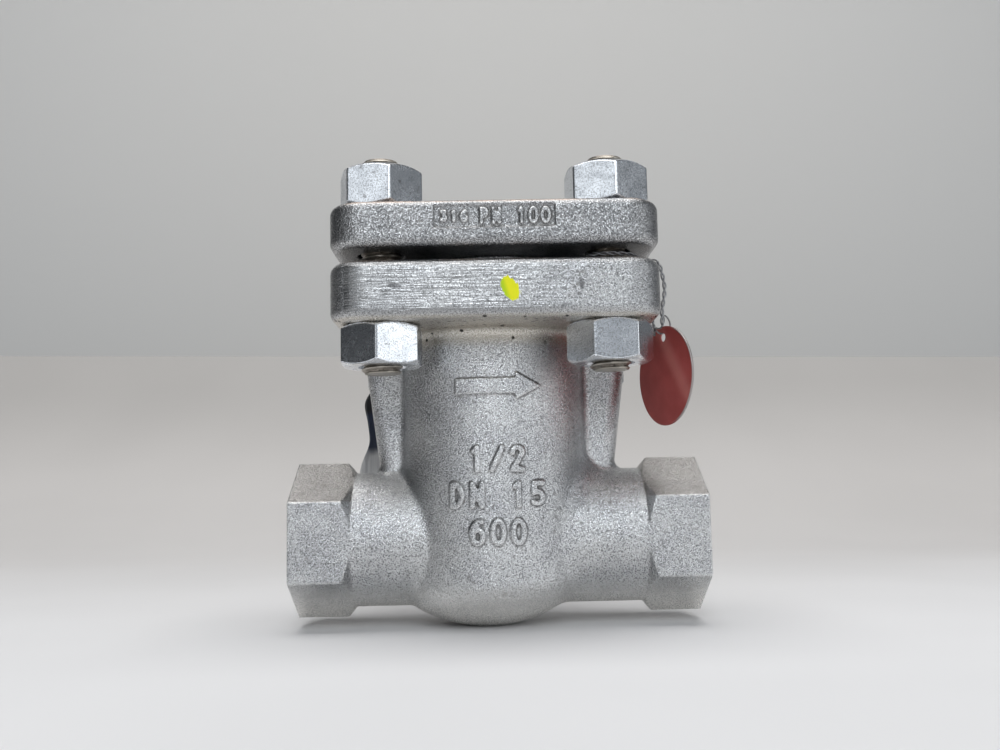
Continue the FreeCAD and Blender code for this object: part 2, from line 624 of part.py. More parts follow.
hollows += stud_holes("flange_hole", "flange_base - 1", "flange_thickness + 2")
marked_casting = fuse("marked_casting", [casting, marks])
body = cut("body", marked_casting, fuse("hollows", hollows))
body.Label = "body"
bind(body, {"Placement.Base.z": "port_height"})
pieces = [body]

# Cover: cast plate with a round boss under it that presses the gasket into its recess
cover_plate = rounded_plate("cover_plate", "cover_thickness", COVER_BASE, "cover_round")
cover_boss = rod("cover_boss", "recess_radius - gasket_clearance",
                 f"{COVER_BASE} - {GASKET_TOP} + cover_thickness / 2", at=("0", "0", GASKET_TOP))
panel = solid("Box", "panel",
              {"Length": "panel_width", "Width": "panel_sink * 2", "Height": "panel_height"},
              at=("-panel_width / 2", "-flange_side / 2 - panel_sink",
                  f"{COVER_TOP} - panel_drop - panel_height / 2"))
PANEL_MIDDLE = value(f"{COVER_TOP} - panel_drop")
PANEL_FRONT = -value("flange_side / 2")
panel_marks = []
for text, middle, height, pitch in (("PN 100", "panel_width / 6", "panel_mark_height", "panel_mark_pitch"),
                                    ("316", "-panel_width / 3", "panel_small_mark", "panel_small_pitch")):
    panel_marks += word_solids(text, value(middle), PANEL_MIDDLE, value(height), value("panel_mark_stroke"),
                               value(pitch), PANEL_FRONT, value("panel_sink * 2"))
panel_letters = doc.addObject("Part::Feature", "panel_letters")
panel_letters.Shape = Part.makeCompound(panel_marks)
panel_hollow = cut("panel_hollow", panel, panel_letters)
cover = cut("cover", fuse("cover_blank", [cover_plate, cover_boss]),
            fuse("cover_hollows", [panel_hollow] + stud_holes("cover_hole", f"{COVER_BASE} - 1",
                                                              "cover_thickness + 2")))
cover.Label = "cover"
bind(cover, {"Placement.Base.z": "port_height"})
pieces.append(cover)


def turned_piece(label, role, corners, axis, at=("0", "0", "port_height"), turn=None):
    """A piece turned on a lathe from one straight-sided section."""
    body = piece_body(label, at, turn)
    turned(body, label + "_turning", outline(body, label + "_section", role, corners), axis)
    pieces.append(body)
    return body


def box_section(inner, outer, low, high):
    return [(inner, low), (outer, low), (outer, high), (inner, high)]


# Gasket ring in the recess under the cover
turned_piece("cover_gasket", "XZ_Plane",
             box_section("gasket_inner", "recess_radius - gasket_clearance", RECESS_FLOOR, GASKET_TOP),
             "V_Axis")

# Seat ring pressed into the seat wall, its sealing face bevelled on both edges
turned_piece("seat_ring", "XZ_Plane",
             [("-seat_wall - seat_sink", "inlet_bore"), ("-seat_wall - seat_sink", "seat_radius"),
              (f"-{SEAT_FACE} - seat_bevel", "seat_radius"), (f"-{SEAT_FACE}", "seat_radius - seat_bevel"),
              (f"-{SEAT_FACE}", "inlet_bore")], "H_Axis")

# Disc with its stem, turned in one piece, cross-drilled for the split pin
disc = turned_piece("disc", "XZ_Plane",
                    [(f"-{DISC_FACE}", "0"), (f"-{DISC_FACE}", "disc_radius - disc_edge"),
                     (f"-{DISC_FACE} + disc_edge", "disc_radius"), (f"-{DISC_BACK}", "disc_radius"),
                     (f"-{DISC_BACK}", "stem_radius"), (f"-{STEM_END} - disc_edge", "stem_radius"),
                     (f"-{STEM_END}", "stem_radius - disc_edge"), (f"-{STEM_END}", "0")], "H_Axis")
PIN_PLACE = f"(-{NUT_BACK} + stem_tail * 0.5)"
pushed(disc, "split_pin_hole", circle(disc, "split_pin_circle", "XY_Plane",
                                      "split_pin_radius + ear_clearance", (PIN_PLACE, "0")),
       "stem_radius * 4", both_ways=True, pocket=True)

turned_piece("disc_washer", "XZ_Plane",
             box_section(f"-{ARM_BACK} + eye_gap", f"-{WASHER_BACK}", "stem_radius + stem_clearance",
                         "washer_radius"), "H_Axis")


def hexagon_corners(corner_radius):
    return [(f"{corner_radius} * cos({angle})", f"{corner_radius} * sin({angle})")
            for angle in range(0, 360, 60)]


disc_nut = piece_body("disc_nut")
pushed(disc_nut, "nut_blank", outline(disc_nut, "nut_hexagon", "YZ_Plane",
                                      hexagon_corners("(disc_nut_flats / 2 / cos(30))"),
                                      f"-{WASHER_BACK}"), "disc_nut_height")
pushed(disc_nut, "nut_bore", circle(disc_nut, "nut_bore_circle", "YZ_Plane",
                                    "stem_radius + nut_clearance"), "half_length",
       both_ways=True, pocket=True)
pieces.append(disc_nut)

# Split pin: a straight wire through the stem with its ends opened out
turned_piece("disc_split_pin", "XZ_Plane",
             box_section("0", "split_pin_radius", "-split_pin_reach", "split_pin_reach"), "V_Axis",
             (PIN_PLACE, "0", "port_height"))

# Arm: an eye around the disc stem, a shank and a boss around the hinge pin
arm = piece_body("hinge_arm")
pushed(arm, "eye", circle(arm, "eye_circle", "YZ_Plane", "eye_radius", offset=f"-{ARM_FACE}"),
       "arm_thickness")
pushed(arm, "boss", circle(arm, "boss_circle", "XZ_Plane", "boss_radius", ("-pivot_reach", "pivot_height")),
       "arm_width", both_ways=True)
pushed(arm, "shank", outline(arm, "shank_outline", "XZ_Plane", [
    (f"-{ARM_FACE}", "stem_radius"), (f"-{ARM_BACK}", "stem_radius"),
    (f"-{ARM_BACK}", "pivot_height - boss_radius * 1.2"),
    ("-pivot_reach + boss_radius * 0.95", "pivot_height"),
    ("-pivot_reach", "pivot_height - boss_radius * 0.6"),
    (f"-{ARM_FACE}", "pivot_height - boss_radius * 1.1")]), "arm_width", both_ways=True)
pushed(arm, "stem_hole", circle(arm, "stem_hole_circle", "YZ_Plane", "stem_radius + stem_clearance"),
       "half_length", both_ways=True, pocket=True)
pushed(arm, "pin_hole", circle(arm, "pin_hole_circle", "XZ_Plane", "pin_radius + pin_clearance",
                               ("-pivot_reach", "pivot_height")),
       "arm_width * 2", both_ways=True, pocket=True)
pieces.append(arm)

# Bracket: a plate screwed to the ledge, with two ears that hang down and hold the hinge pin
bracket = piece_body("hinge_bracket")
pushed(bracket, "plate", outline(bracket, "plate_outline", "XZ_Plane",
                                 box_section("-plate_back", "-plate_front", "ledge_height",
                                             "ledge_height + plate_thickness")),
       f"{EAR_OUTER} * 2", both_ways=True)
pushed(bracket, "ear_web", outline(bracket, "ear_outline", "XZ_Plane",
                                   box_section("-pivot_reach - ear_radius", "-pivot_reach + ear_radius",
                                               "pivot_height", "ledge_height + plate_thickness / 2")),
       f"{EAR_OUTER} * 2", both_ways=True)
pushed(bracket, "ear_end", circle(bracket, "ear_circle", "XZ_Plane", "ear_radius",
                                  ("-pivot_reach", "pivot_height")), f"{EAR_OUTER} * 2", both_ways=True)
pushed(bracket, "arm_slot", outline(bracket, "slot_outline", "XZ_Plane",
                                    box_section("-pivot_reach - ear_radius * 1.5",
                                                "-pivot_reach + ear_radius * 1.5",
                                                "pivot_height - ear_radius * 1.5", "ledge_height")),
       f"{EAR_INNER} * 2", both_ways=True, pocket=True)
pushed(bracket, "bracket_pin_hole", circle(bracket, "bracket_pin_circle", "XZ_Plane",
                                           "pin_radius + ear_clearance", ("-pivot_reach", "pivot_height")),
       f"{EAR_OUTER} * 4", both_ways=True, pocket=True)
for side, name in ((-1, "front"), (1, "rear")):
    pushed(bracket, name + "_screw_hole",
           circle(bracket, name + "_screw_circle", "XY_Plane", "screw_radius + screw_clearance",
                  ("-screw_reach", f"{side} * screw_spacing / 2"), "ledge_height"),
           "plate_thickness * 4", both_ways=True, pocket=True)
pieces.append(bracket)

pin_end = f"({EAR_OUTER} - ear_clearance)"
turned_piece("hinge_pin", "YZ_Plane",
             [(f"-{pin_end}", "0"), (f"-{pin_end}", "pin_radius * 0.8"),
              (f"-{pin_end} + pin_radius * 0.2", "pin_radius"),
              (f"{pin_end} - pin_radius * 0.2", "pin_radius"), (pin_end, "pin_radius * 0.8"),
              (pin_end, "0")], "H_Axis", ("-pivot_reach", "0", "port_height + pivot_height"))

# Two socket screws hold the bracket
HEAD_TOP = "(plate_thickness + screw_head_height)"
for side, name in ((-1, "bracket_screw_front"), (1, "bracket_screw_rear")):
    screw = turned_piece(name, "XZ_Plane",
                         [("0", "-screw_depth"), ("screw_radius", "-screw_depth"),
                          ("screw_radius", "plate_thickness"), ("screw_head_radius", "plate_thickness"),
                          ("screw_head_radius", HEAD_TOP), ("0", HEAD_TOP)], "V_Axis",
                         ("-screw_reach", f"{side} * screw_spacing / 2", "port_height + ledge_height"))
    pushed(screw, name + "_socket", outline(screw, name + "_hexagon", "XY_Plane",
                                            hexagon_corners("socket_radius"), HEAD_TOP),
           "screw_head_height * 0.6", pocket=True)

# Cover studs and their heavy nuts, one above and one below the flanges at each corner
# Each nut is turned as it was left by the spanner.
CORNERS = [("front_left", -1, -1, 15.9, -2.4), ("front_right", 1, -1, 7.3, -27.3),
           ("rear_left", -1, 1, 24.0, 11.0), ("rear_right", 1, 1, -9.0, 33.0)]
NUT_CORNER = "(nut_flats / 2 / cos(30))"
BEVEL_EDGE = f"({NUT_CORNER} * 1.1)"
BEVEL_DROP = f"(nut_bevel * ({BEVEL_EDGE} - nut_flats / 2) / ({NUT_CORNER} - nut_flats / 2))"
BORE_LIP = "(stud_radius + nut_clearance + nut_bevel * 0.6)"
for corner, across, away, upper_turn, lower_turn in CORNERS:
    place = (f"{across} * bolt_spacing / 2", f"{away} * bolt_spacing / 2")
    turned_piece("cover_stud_" + corner, "XZ_Plane",
                 [("0", "0"), ("stud_radius - stud_bevel", "0"), ("stud_radius", "stud_bevel"),
                  ("stud_radius", "stud_length - stud_bevel"),
                  ("stud_radius - stud_bevel", "stud_length"), ("0", "stud_length")], "V_Axis",
                 place + (f"port_height + {STUD_START}",))
    for level, base, turn in (("upper", COVER_TOP, upper_turn),
                              ("lower", "(flange_base - nut_height)", lower_turn)):
        name = f"{level}_nut_{corner}"
        nut = piece_body(name, place + (f"port_height + {base}",),
                         FreeCAD.Rotation(V(0, 0, 1), 30 + turn))
        pushed(nut, name + "_blank", outline(nut, name + "_hexagon", "XY_Plane",
                                             hexagon_corners(NUT_CORNER)), "nut_height")
        for end, face, drop in (("top", "nut_height", f"nut_height - {BEVEL_DROP}"),
                                ("foot", "0", BEVEL_DROP)):
            turned(nut, f"{name}_{end}_bevel",
                   outline(nut, f"{name}_{end}_bevel_section", "XZ_Plane",
                           [("nut_flats / 2", face), (BEVEL_EDGE, face), (BEVEL_EDGE, drop)]),
                   "V_Axis", groove=True)
        pushed(nut, name + "_bore", circle(nut, name + "_bore_circle", "XY_Plane",
                                           "stud_radius + nut_clearance"), "nut_height * 4",
               both_ways=True, pocket=True)
        for end, face, drop in (("top", "nut_height", "nut_height - nut_bevel"), ("foot", "0", "nut_bevel")):
            turned(nut, f"{name}_{end}_lip",
                   outline(nut, f"{name}_{end}_lip_section", "XZ_Plane",
                           [("stud_radius / 2", face), (BORE_LIP, face), ("stud_radius / 2", drop)]),
                   "V_Axis", groove=True)
        pieces.append(nut)

# Red round tag hung by its hole beside the body flange
TAG_HOLE = ("flange_side / 2 + tag_reach", "-tag_forward", "flange_base - tag_drop")
tag = piece_body("red_tag", TAG_HOLE[:2] + ("port_height + " + TAG_HOLE[2],),
                 FreeCAD.Rotation(V(0, 0, 1), -value("tag_turn")) * ACROSS_FLOW)
pushed(tag, "tag_plate", circle(tag, "tag_edge", "XY_Plane", "tag_radius", ("0", "-tag_hole_rise")),
       "tag_thickness", both_ways=True)
pushed(tag, "tag_eye", circle(tag, "tag_eye_circle", "XY_Plane", "tag_hole"), "tag_thickness * 4",
       both_ways=True, pocket=True)
pieces.append(tag)


def bent_path(points, bend):
    """Straight runs joined by arcs that touch both runs."""
    edges = []
    last = points[0]
    for before, corner, after in zip(points, points[1:], points[2:]):
        back = (before - corner).normalize()
        on = (after - corner).normalize()
        half_turn = (math.pi - back.getAngle(on)) / 2
        reach = bend * math.tan(half_turn)
        start = corner + back * reach
        end = corner + on * reach
        inward = (back + on).normalize()
        middle = corner + inward * (bend / math.cos(half_turn) - bend)
        edges.append(Part.LineSegment(last, start).toShape())
        edges.append(Part.Arc(start, middle, end).toShape())
        last = end
    edges.append(Part.LineSegment(last, points[-1]).toShape())
    return Part.Wire(edges)


# Tag wire: round the front right stud in the flange gap, down the flange's side, through the tag
half_spacing = value("bolt_spacing") / 2
wire_level = value(f"{FLANGE_TOP} + joint_gap / 2")
wrap = value("stud_radius + wire_radius + wire_play")
flange_edge = value("flange_side / 2 + wire_radius + wire_play")
stand_off = value("wire_stand_off")
hole = V(*[value(text) for text in TAG_HOLE])
face_normal = FreeCAD.Rotation(V(0, 0, 1), -value("tag_turn")).multVec(V(0, -1, 0))
strand_top = V(0, 0, value("tag_radius - tag_hole_rise + wire_play") + stand_off)
out_of_gap = V(flange_edge, -half_spacing + wrap * 0.5, wire_level)
below_flange = V(flange_edge, out_of_gap.y, hole.z + strand_top.z + stand_off)
wire_points = [
    V(half_spacing - wrap * 0.2, -half_spacing + wrap, wire_level),
    V(half_spacing - wrap, -half_spacing + wrap, wire_level),
    V(half_spacing - wrap, -half_spacing - wrap, wire_level),
    V(half_spacing + wrap, -half_spacing - wrap, wire_level),
    V(half_spacing + wrap, out_of_gap.y, wire_level),
    out_of_gap,
    below_flange,
    hole + face_normal * stand_off + strand_top,
    hole + face_normal * stand_off,
    hole - face_normal * stand_off,
    hole - face_normal * stand_off + strand_top,
]
wire_bend = value("wire_radius") * 3
wire_path = bent_path(wire_points, wire_bend)
tag_wire = doc.addObject("Part::Feature", "tag_wire")
start_ring = Part.Wire([Part.Circle(wire_points[0], V(-1, 0, 0), value("wire_radius")).toShape()])
tag_wire.Shape = wire_path.makePipeShell([start_ring], True, True)
tag_wire.Label = "tag_wire"
bind(tag_wire, {"Placement.Base.z": "port_height"})
pieces.append(tag_wire)

# Strap label: one strip of film, tucked in the flange gap behind the rear left stud, hung over the
# flange's rear edge, narrowed at its neck and wide below
label_out = value("flange_side / 2 + label_thickness / 2 + wire_play")
label_tuck = value("bolt_spacing / 2 + stud_radius + label_thickness / 2 + wire_play")
label_tucked = label_out - label_tuck
label_strip = value("label_strip")
label_wide = value("label_width")
label_lean = value("label_lean")
STRAP_SECTIONS = [
    # share of the drift, share of the drop, distance from the flange's rear edge, width, turn
    # about the upright, and 0 lying flat or 1 hanging
    (0.0, 0.0, -label_tucked, label_strip, 0, 0.0),
    (0.0, 0.0, -label_tucked * 0.19, label_strip, 0, 0.0),
    (0.02, 0.02, 0.0, label_strip, 0, 0.75),
    (0.08, 0.1, 0.0, label_strip * 1.1, 0, 1.0),
    (0.3, 0.3, label_lean * 0.15, label_strip * 1.15, 4, 1.0),
    (0.68, 0.44, label_lean * 0.1, label_strip * 1.1, 10, 1.0),
    (1.25, 0.485, -label_lean * 0.3, label_strip * 1.05, 18, 1.0),
    (1.05, 0.565, -label_lean * 0.6, value("label_neck"), 40, 1.0),
    (1.05, 0.65, -label_lean * 0.8, label_wide * 0.8, 14, 1.0),
    (1.04, 0.76, -label_lean * 0.9, label_wide, 5, 1.0),
    (1.0, 1.0, -label_lean, label_wide, 3, 1.0),
]
strip_half = value("label_thickness") / 2
strip_wires = []
for drift, drop, off, width, turn, hang in STRAP_SECTIONS:
    middle = V(-value("label_place") - drift * value("label_drift"), label_out + off,
               wire_level - drop * value("label_drop"))
    across = FreeCAD.Rotation(V(0, 0, 1), turn).multVec(V(width / 2, 0, 0))
    through = FreeCAD.Rotation(across, -90 * hang).multVec(V(0, 0, strip_half))
    ends = [middle - across - through, middle - across + through, middle + across + through,
            middle + across - through]
    strip_wires.append(Part.makePolygon(ends + ends[:1]))
strap_label = doc.addObject("Part::Feature", "strap_label")
strap_label.Shape = Part.makeLoft(strip_wires, True, True)
strap_label.Label = "strap_label"
bind(strap_label, {"Placement.Base.z": "port_height"})
pieces.append(strap_label)

doc.recompute()
for thing in doc.Objects:
    if "Invalid" in thing.State or "Error" in thing.State:
        raise RuntimeError(f"{thing.Name} failed: {thing.State}")
for thing in pieces:
    if thing.Shape.isNull() or not thing.Shape.isValid() or not thing.Shape.Solids:
        raise RuntimeError(f"{thing.Label} has no sound solid")
os.makedirs("parts", exist_ok=True)
for thing in pieces:
    thing.Shape.exportStep(f"parts/{thing.Label}.step")
    print(f"{thing.Label:24s} {thing.Shape.Volume:10.1f} mm3")
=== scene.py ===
import math
import bmesh
import bpy
import numpy as np
from mathutils import Matrix, Vector


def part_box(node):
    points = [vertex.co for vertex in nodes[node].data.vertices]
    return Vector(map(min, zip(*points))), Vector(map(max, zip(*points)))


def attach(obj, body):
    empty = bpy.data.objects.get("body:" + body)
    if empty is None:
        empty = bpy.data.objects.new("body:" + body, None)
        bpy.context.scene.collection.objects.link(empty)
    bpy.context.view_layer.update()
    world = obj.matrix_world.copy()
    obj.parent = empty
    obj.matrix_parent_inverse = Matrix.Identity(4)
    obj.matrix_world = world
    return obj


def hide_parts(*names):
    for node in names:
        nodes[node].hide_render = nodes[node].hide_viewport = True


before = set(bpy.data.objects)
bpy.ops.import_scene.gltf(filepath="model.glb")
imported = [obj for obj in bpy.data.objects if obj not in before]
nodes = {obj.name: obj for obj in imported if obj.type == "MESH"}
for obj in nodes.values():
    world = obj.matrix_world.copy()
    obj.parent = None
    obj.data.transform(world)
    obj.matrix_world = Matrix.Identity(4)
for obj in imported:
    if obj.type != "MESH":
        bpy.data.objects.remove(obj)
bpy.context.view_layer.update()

scene = bpy.context.scene
PORT = 0.0211  # height of the pipe ends' axis above the table

# Camera: a little above the table in front of the cast marks, looking slightly up
# It stands where the photograph was taken, level with the lower part of the barrel.
camera_data = bpy.data.cameras.new("camera")
camera_data.sensor_width = 36.0
camera_data.lens = 37.404
camera_data.clip_start = 0.01
camera = bpy.data.objects.new("camera", camera_data)
camera.matrix_world = Matrix((
    (0.99970575, 0.01870965, -0.0154387, -0.00298),
    (-0.01328564, -0.11018878, -0.99382188, -0.26282),
    (-0.02029523, 0.99373456, -0.10990779, 0.0326),
    (0.0, 0.0, 0.0, 1.0)))
scene.collection.objects.link(camera)
scene.camera = camera
scene.view_settings.view_transform = "Standard"


# Table sheet and wall: a pale sheet that sweeps up behind the valve, and a grey wall further back
# Both are only the setting and aren't part of the valve.
def add_object(name, mesh):
    made = bpy.data.objects.new(name, mesh)
    scene.collection.objects.link(made)
    return made


def grid_mesh(name, rows, closed=False):
    """A smooth mesh through rows of points, each row as long as the first."""
    count = len(rows[0])
    points = [tuple(point) for row in rows for point in row]
    faces = []
    for start in range(0, (len(rows) - 1) * count, count):
        for here in range(count if closed else count - 1):
            beside = (here + 1) % count
            corners = (here, beside, count + beside, count + here)
            faces.append(tuple(start + corner for corner in corners))
    mesh = bpy.data.meshes.new(name)
    mesh.from_pydata(points, [], faces)
    mesh.polygons.foreach_set("use_smooth", [True] * len(faces))
    return mesh


def capped(rows, first, last):
    """Closed rings with a point added at both ends."""
    return [[first] * len(rows[0])] + rows + [[last] * len(rows[0])]


def clean(mesh, weld=1e-7, crease=None):
    """Weld a mesh's points, or fill its open ends, and turn its faces outward.

    Edges that bend by more than the crease, in degrees, are marked as sharp.
    """
    shape = bmesh.new()
    shape.from_mesh(mesh)
    if weld:
        bmesh.ops.remove_doubles(shape, verts=shape.verts, dist=weld)
    else:
        bmesh.ops.holes_fill(shape, edges=[e for e in shape.edges if len(e.link_faces) == 1])
    bmesh.ops.recalc_face_normals(shape, faces=shape.faces)
    if crease:
        for edge in shape.edges:
            edge.smooth = len(edge.link_faces) != 2 or edge.calc_face_angle() < math.radians(crease)
    shape.to_mesh(mesh)
    shape.free()


sweep_start, sweep_radius = 0.25, 0.42
sweep_line = [(-1.6, 0.0), (-0.6, 0.0), (0.0, 0.0), (sweep_start, 0.0)]
sweep_line += [(sweep_start + sweep_radius * math.sin(math.radians(a)),
                sweep_radius - sweep_radius * math.cos(math.radians(a))) for a in range(4, 49, 4)]
sideways_fall = 0.0203
table = add_object("table_sheet", grid_mesh("table_sheet", [
    [(x, y, z - sideways_fall * x * min(1.0, max(0.0, y) / 0.6)) for x in np.linspace(-1.0, 1.0, 9)]
    for y, z in sweep_line]))
wall = add_object("wall", grid_mesh("wall", [
    [(x, 1.15, z) for x in np.linspace(-0.95, 0.95, 9)] for z in (-0.3, 0.3, 0.8, 1.3)]))


def new_material(name):
    material = bpy.data.materials.new(name)
    material.use_nodes = True
    material.node_tree.nodes.clear()
    return material, material.node_tree


def feed(tree, socket, given):
    """Give a socket a number, a colour or another node's output."""
    if isinstance(given, bpy.types.NodeSocket):
        tree.links.new(given, socket)
    else:
        socket.default_value = given


def put(tree, kind, settings=None, **inputs):
    """A node with its settings and its inputs, by name or as i and a number."""
    made = tree.nodes.new("ShaderNode" + kind)
    for key, setting in (settings or {}).items():
        setattr(made, key, setting)
    for key, given in inputs.items():
        numbered = key[0] == "i" and key[1:].isdigit()
        feed(tree, made.inputs[int(key[1:]) if numbered else key.replace("_", " ")], given)
    return made


def calc(tree, operation, a, b=0.0):
    return put(tree, "Math", {"operation": operation}, i0=a, i1=b).outputs[0]


def plus(tree, a, b):
    return calc(tree, "ADD", a, b)


def times(tree, a, b):
    return calc(tree, "MULTIPLY", a, b)


def wavering(tree, texture, amount):
    """A texture's swing to both sides of its mean."""
    return times(tree, calc(tree, "SUBTRACT", texture, 0.5), amount)


def squares(tree, a, b):
    return plus(tree, calc(tree, "POWER", a, 2.0), calc(tree, "POWER", b, 2.0))


def oval(tree, across, up, half_width, half_height):
    """1 on the outline of an oval, less within it."""
    return squares(tree, calc(tree, "DIVIDE", across, half_width),
                   calc(tree, "DIVIDE", up, half_height))


def ramp(tree, given, low, high, out_low=0.0, out_high=1.0):
    """A soft step between two values."""
    return put(tree, "MapRange", {"interpolation_type": "SMOOTHSTEP"}, Value=given,
               From_Min=low, From_Max=high, To_Min=out_low, To_Max=out_high).outputs[0]


def blended(tree, share, a, b, kind="MIX"):
    """Two colours mixed by the share of the second."""
    made = put(tree, "Mix", {"data_type": "RGBA", "blend_type": kind}, i0=share, i6=a, i7=b)
    return made.outputs[2]


def noise(tree, vector, scale, detail=2.0, roughness=0.5, distortion=0.0):
    return put(tree, "TexNoise", Vector=vector, Scale=scale, Detail=detail, Roughness=roughness,
               Distortion=distortion).outputs["Fac"]


def stretched(tree, vector, scales):
    return put(tree, "VectorMath", {"operation": "MULTIPLY"}, i0=vector, i1=scales).outputs[0]


def object_place(tree):
    """Object coordinates, together and as x, y and z."""
    place = put(tree, "TexCoord").outputs["Object"]
    return place, *put(tree, "SeparateXYZ", Vector=place).outputs


def ends_in(tree, shader):
    output = tree.nodes.new("ShaderNodeOutputMaterial")
    tree.links.new(shader.outputs[0], output.inputs[0])


sheet_material, tree = new_material("pale_sheet")
place, _, y, z = object_place(tree)
# Paler near the front and darker towards the back: a painted fall-off of light across the table.
colour = blended(tree, ramp(tree, y, -0.10, 0.50), (0.79, 0.79, 0.80, 1), (0.59, 0.57, 0.555, 1))
colour = blended(tree, ramp(tree, z, 0.03, 0.12), colour, (0.46, 0.445, 0.43, 1))
cloudy = ramp(tree, noise(tree, place, 9.0), 0.3, 0.7, 0.97, 1.0)
cloudy = put(tree, "CombineColor", i0=cloudy, i1=cloudy, i2=cloudy).outputs[0]
colour = blended(tree, 1.0, colour, cloudy, "MULTIPLY")
ends_in(tree, put(tree, "BsdfPrincipled", Base_Color=colour, Roughness=0.75,
                  Specular_IOR_Level=0.25))
table.data.materials.append(sheet_material)

wall_material, tree = new_material("grey_wall")
_, x, _, _ = object_place(tree)
to_the_sides = ramp(tree, calc(tree, "ABSOLUTE", x), 0.1, 0.8)
colour = blended(tree, to_the_sides, (0.72, 0.71, 0.69, 1), (0.74, 0.735, 0.72, 1))
ends_in(tree, put(tree, "BsdfPrincipled", Base_Color=colour, Roughness=0.9, Specular_IOR_Level=0.1))
wall.data.materials.append(wall_material)

# Soft studio light: a broad ceiling panel, three weaker panels in front and a dim room
# The room is paler in front, behind and a little to the right, so that the steel shows its form.
world = bpy.data.worlds.new("room")
world.use_nodes = True
tree = world.node_tree
room = tree.nodes["Background"]
toward = put(tree, "SeparateXYZ", Vector=put(tree, "TexCoord").outputs["Generated"])
in_front = ramp(tree, toward.outputs["Y"], -0.40, -0.97, 0.045, 0.34)
behind = ramp(tree, toward.outputs["Y"], 0.75, 0.98, 0.0, 0.20)
to_the_right = ramp(tree, toward.outputs["X"], 0.30, 0.95, 0.0, 0.14)
tree.links.new(plus(tree, plus(tree, in_front, behind), to_the_right), room.inputs["Strength"])
room.inputs["Color"].default_value = (0.91, 0.96, 1.02, 1)
scene.world = world


def lamp(name, place, aim, width, height, power, colour):
    data = bpy.data.lights.new(name, "AREA")
    data.shape = "RECTANGLE"
    data.size = width
    data.size_y = height
    data.energy = power
    data.color = colour
    made = bpy.data.objects.new(name, data)
    made.location = place
    made.rotation_euler = (Vector(aim) - Vector(place)).to_track_quat("-Z", "Y").to_euler()
    scene.collection.objects.link(made)


lamp("ceiling_panel", (0.0, -0.05, 1.5), (0, 0, 0), 1.5, 1.0, 19.0, (1.0, 0.99, 0.98))
lamp("front_panel", (-0.04, -1.2, 0.80), (0, 0, 0.06), 0.44, 0.80, 5.5, (0.93, 0.97, 1.0))
lamp("left_panel", (-0.76, -1.04, 0.46), (0, 0, 0.08), 0.30, 0.45, 0.48, (0.95, 0.98, 1.0))
lamp("right_panel", (1.08, -0.67, 0.30), (0, 0, 0.07), 0.75, 0.60, 2.2, (0.95, 0.98, 1.0))


# Body and cover castings: blasted stainless with soft edges, as they left the mould
# The flange's front is ground flat on its left part and carries a dab of yellow inspection paint.
def soft_copy(node, name, voxel, passes, triangles):
    """A finely divided copy of a cast piece with every edge softened."""
    source = nodes[node].data.copy()
    clean(source, weld=1e-6)
    draft = add_object(name + "_draft", source)
    remesh = draft.modifiers.new("remesh", "REMESH")
    remesh.mode = "VOXEL"
    remesh.voxel_size = voxel
    smooth = draft.modifiers.new("smooth", "SMOOTH")
    smooth.factor = 0.5
    smooth.iterations = passes
    bpy.context.view_layer.update()
    quads = len(draft.evaluated_get(bpy.context.evaluated_depsgraph_get()).data.polygons)
    lighter = draft.modifiers.new("lighter", "DECIMATE")
    lighter.ratio = min(1.0, triangles / (quads * 2))
    evaluated = draft.evaluated_get(bpy.context.evaluated_depsgraph_get())
    mesh = bpy.data.meshes.new_from_object(evaluated)
    mesh.name = name
    bpy.data.objects.remove(draft)
    mesh.materials.clear()
    mesh.polygons.foreach_set("use_smooth", [True] * len(mesh.polygons))
    piece = add_object(name, mesh)
    add_bend_for_wear_and_shade(mesh, 2)
    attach(piece, "casing")
    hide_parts(node)
    return piece


def add_bend_for_wear_and_shade(mesh, spread):
    """Store how strongly the surface bends: 0.5 flat, more on edges, less in corners. Materials
    turn it into abraded edges with a painted highlight, and painted shade in corners.
    """
    count = len(mesh.vertices)
    points, normals = np.empty(count * 3), np.empty(count * 3)
    mesh.vertices.foreach_get("co", points)
    mesh.vertices.foreach_get("normal", normals)
    points, normals = points.reshape(-1, 3), normals.reshape(-1, 3)
    ends = np.empty(len(mesh.edges) * 2, int)
    mesh.edges.foreach_get("vertices", ends)
    first, second = ends.reshape(-1, 2).T
    away = points[second] - points[first]
    length = np.maximum(np.linalg.norm(away, axis=1), 1e-7)
    unit = away / length[:, None]
    bend, near = np.zeros(count), np.zeros(count)
    np.add.at(bend, first, -(unit * normals[first]).sum(1) / length)
    np.add.at(bend, second, (unit * normals[second]).sum(1) / length)
    np.add.at(near, first, 1)
    np.add.at(near, second, 1)
    bend = bend / np.maximum(near, 1)
    for _ in range(spread):
        total = bend.copy()
        np.add.at(total, first, bend[second])
        np.add.at(total, second, bend[first])
        bend = total / (near + 1)
    full_bend = 2600.0
    worn_and_highlit = np.clip(0.5 + bend / full_bend, 0.0, 1.0).astype(np.float32)
    mesh.attributes.new("bend_for_wear_and_shade", "FLOAT", "POINT").data.foreach_set("value", worn_and_highlit)


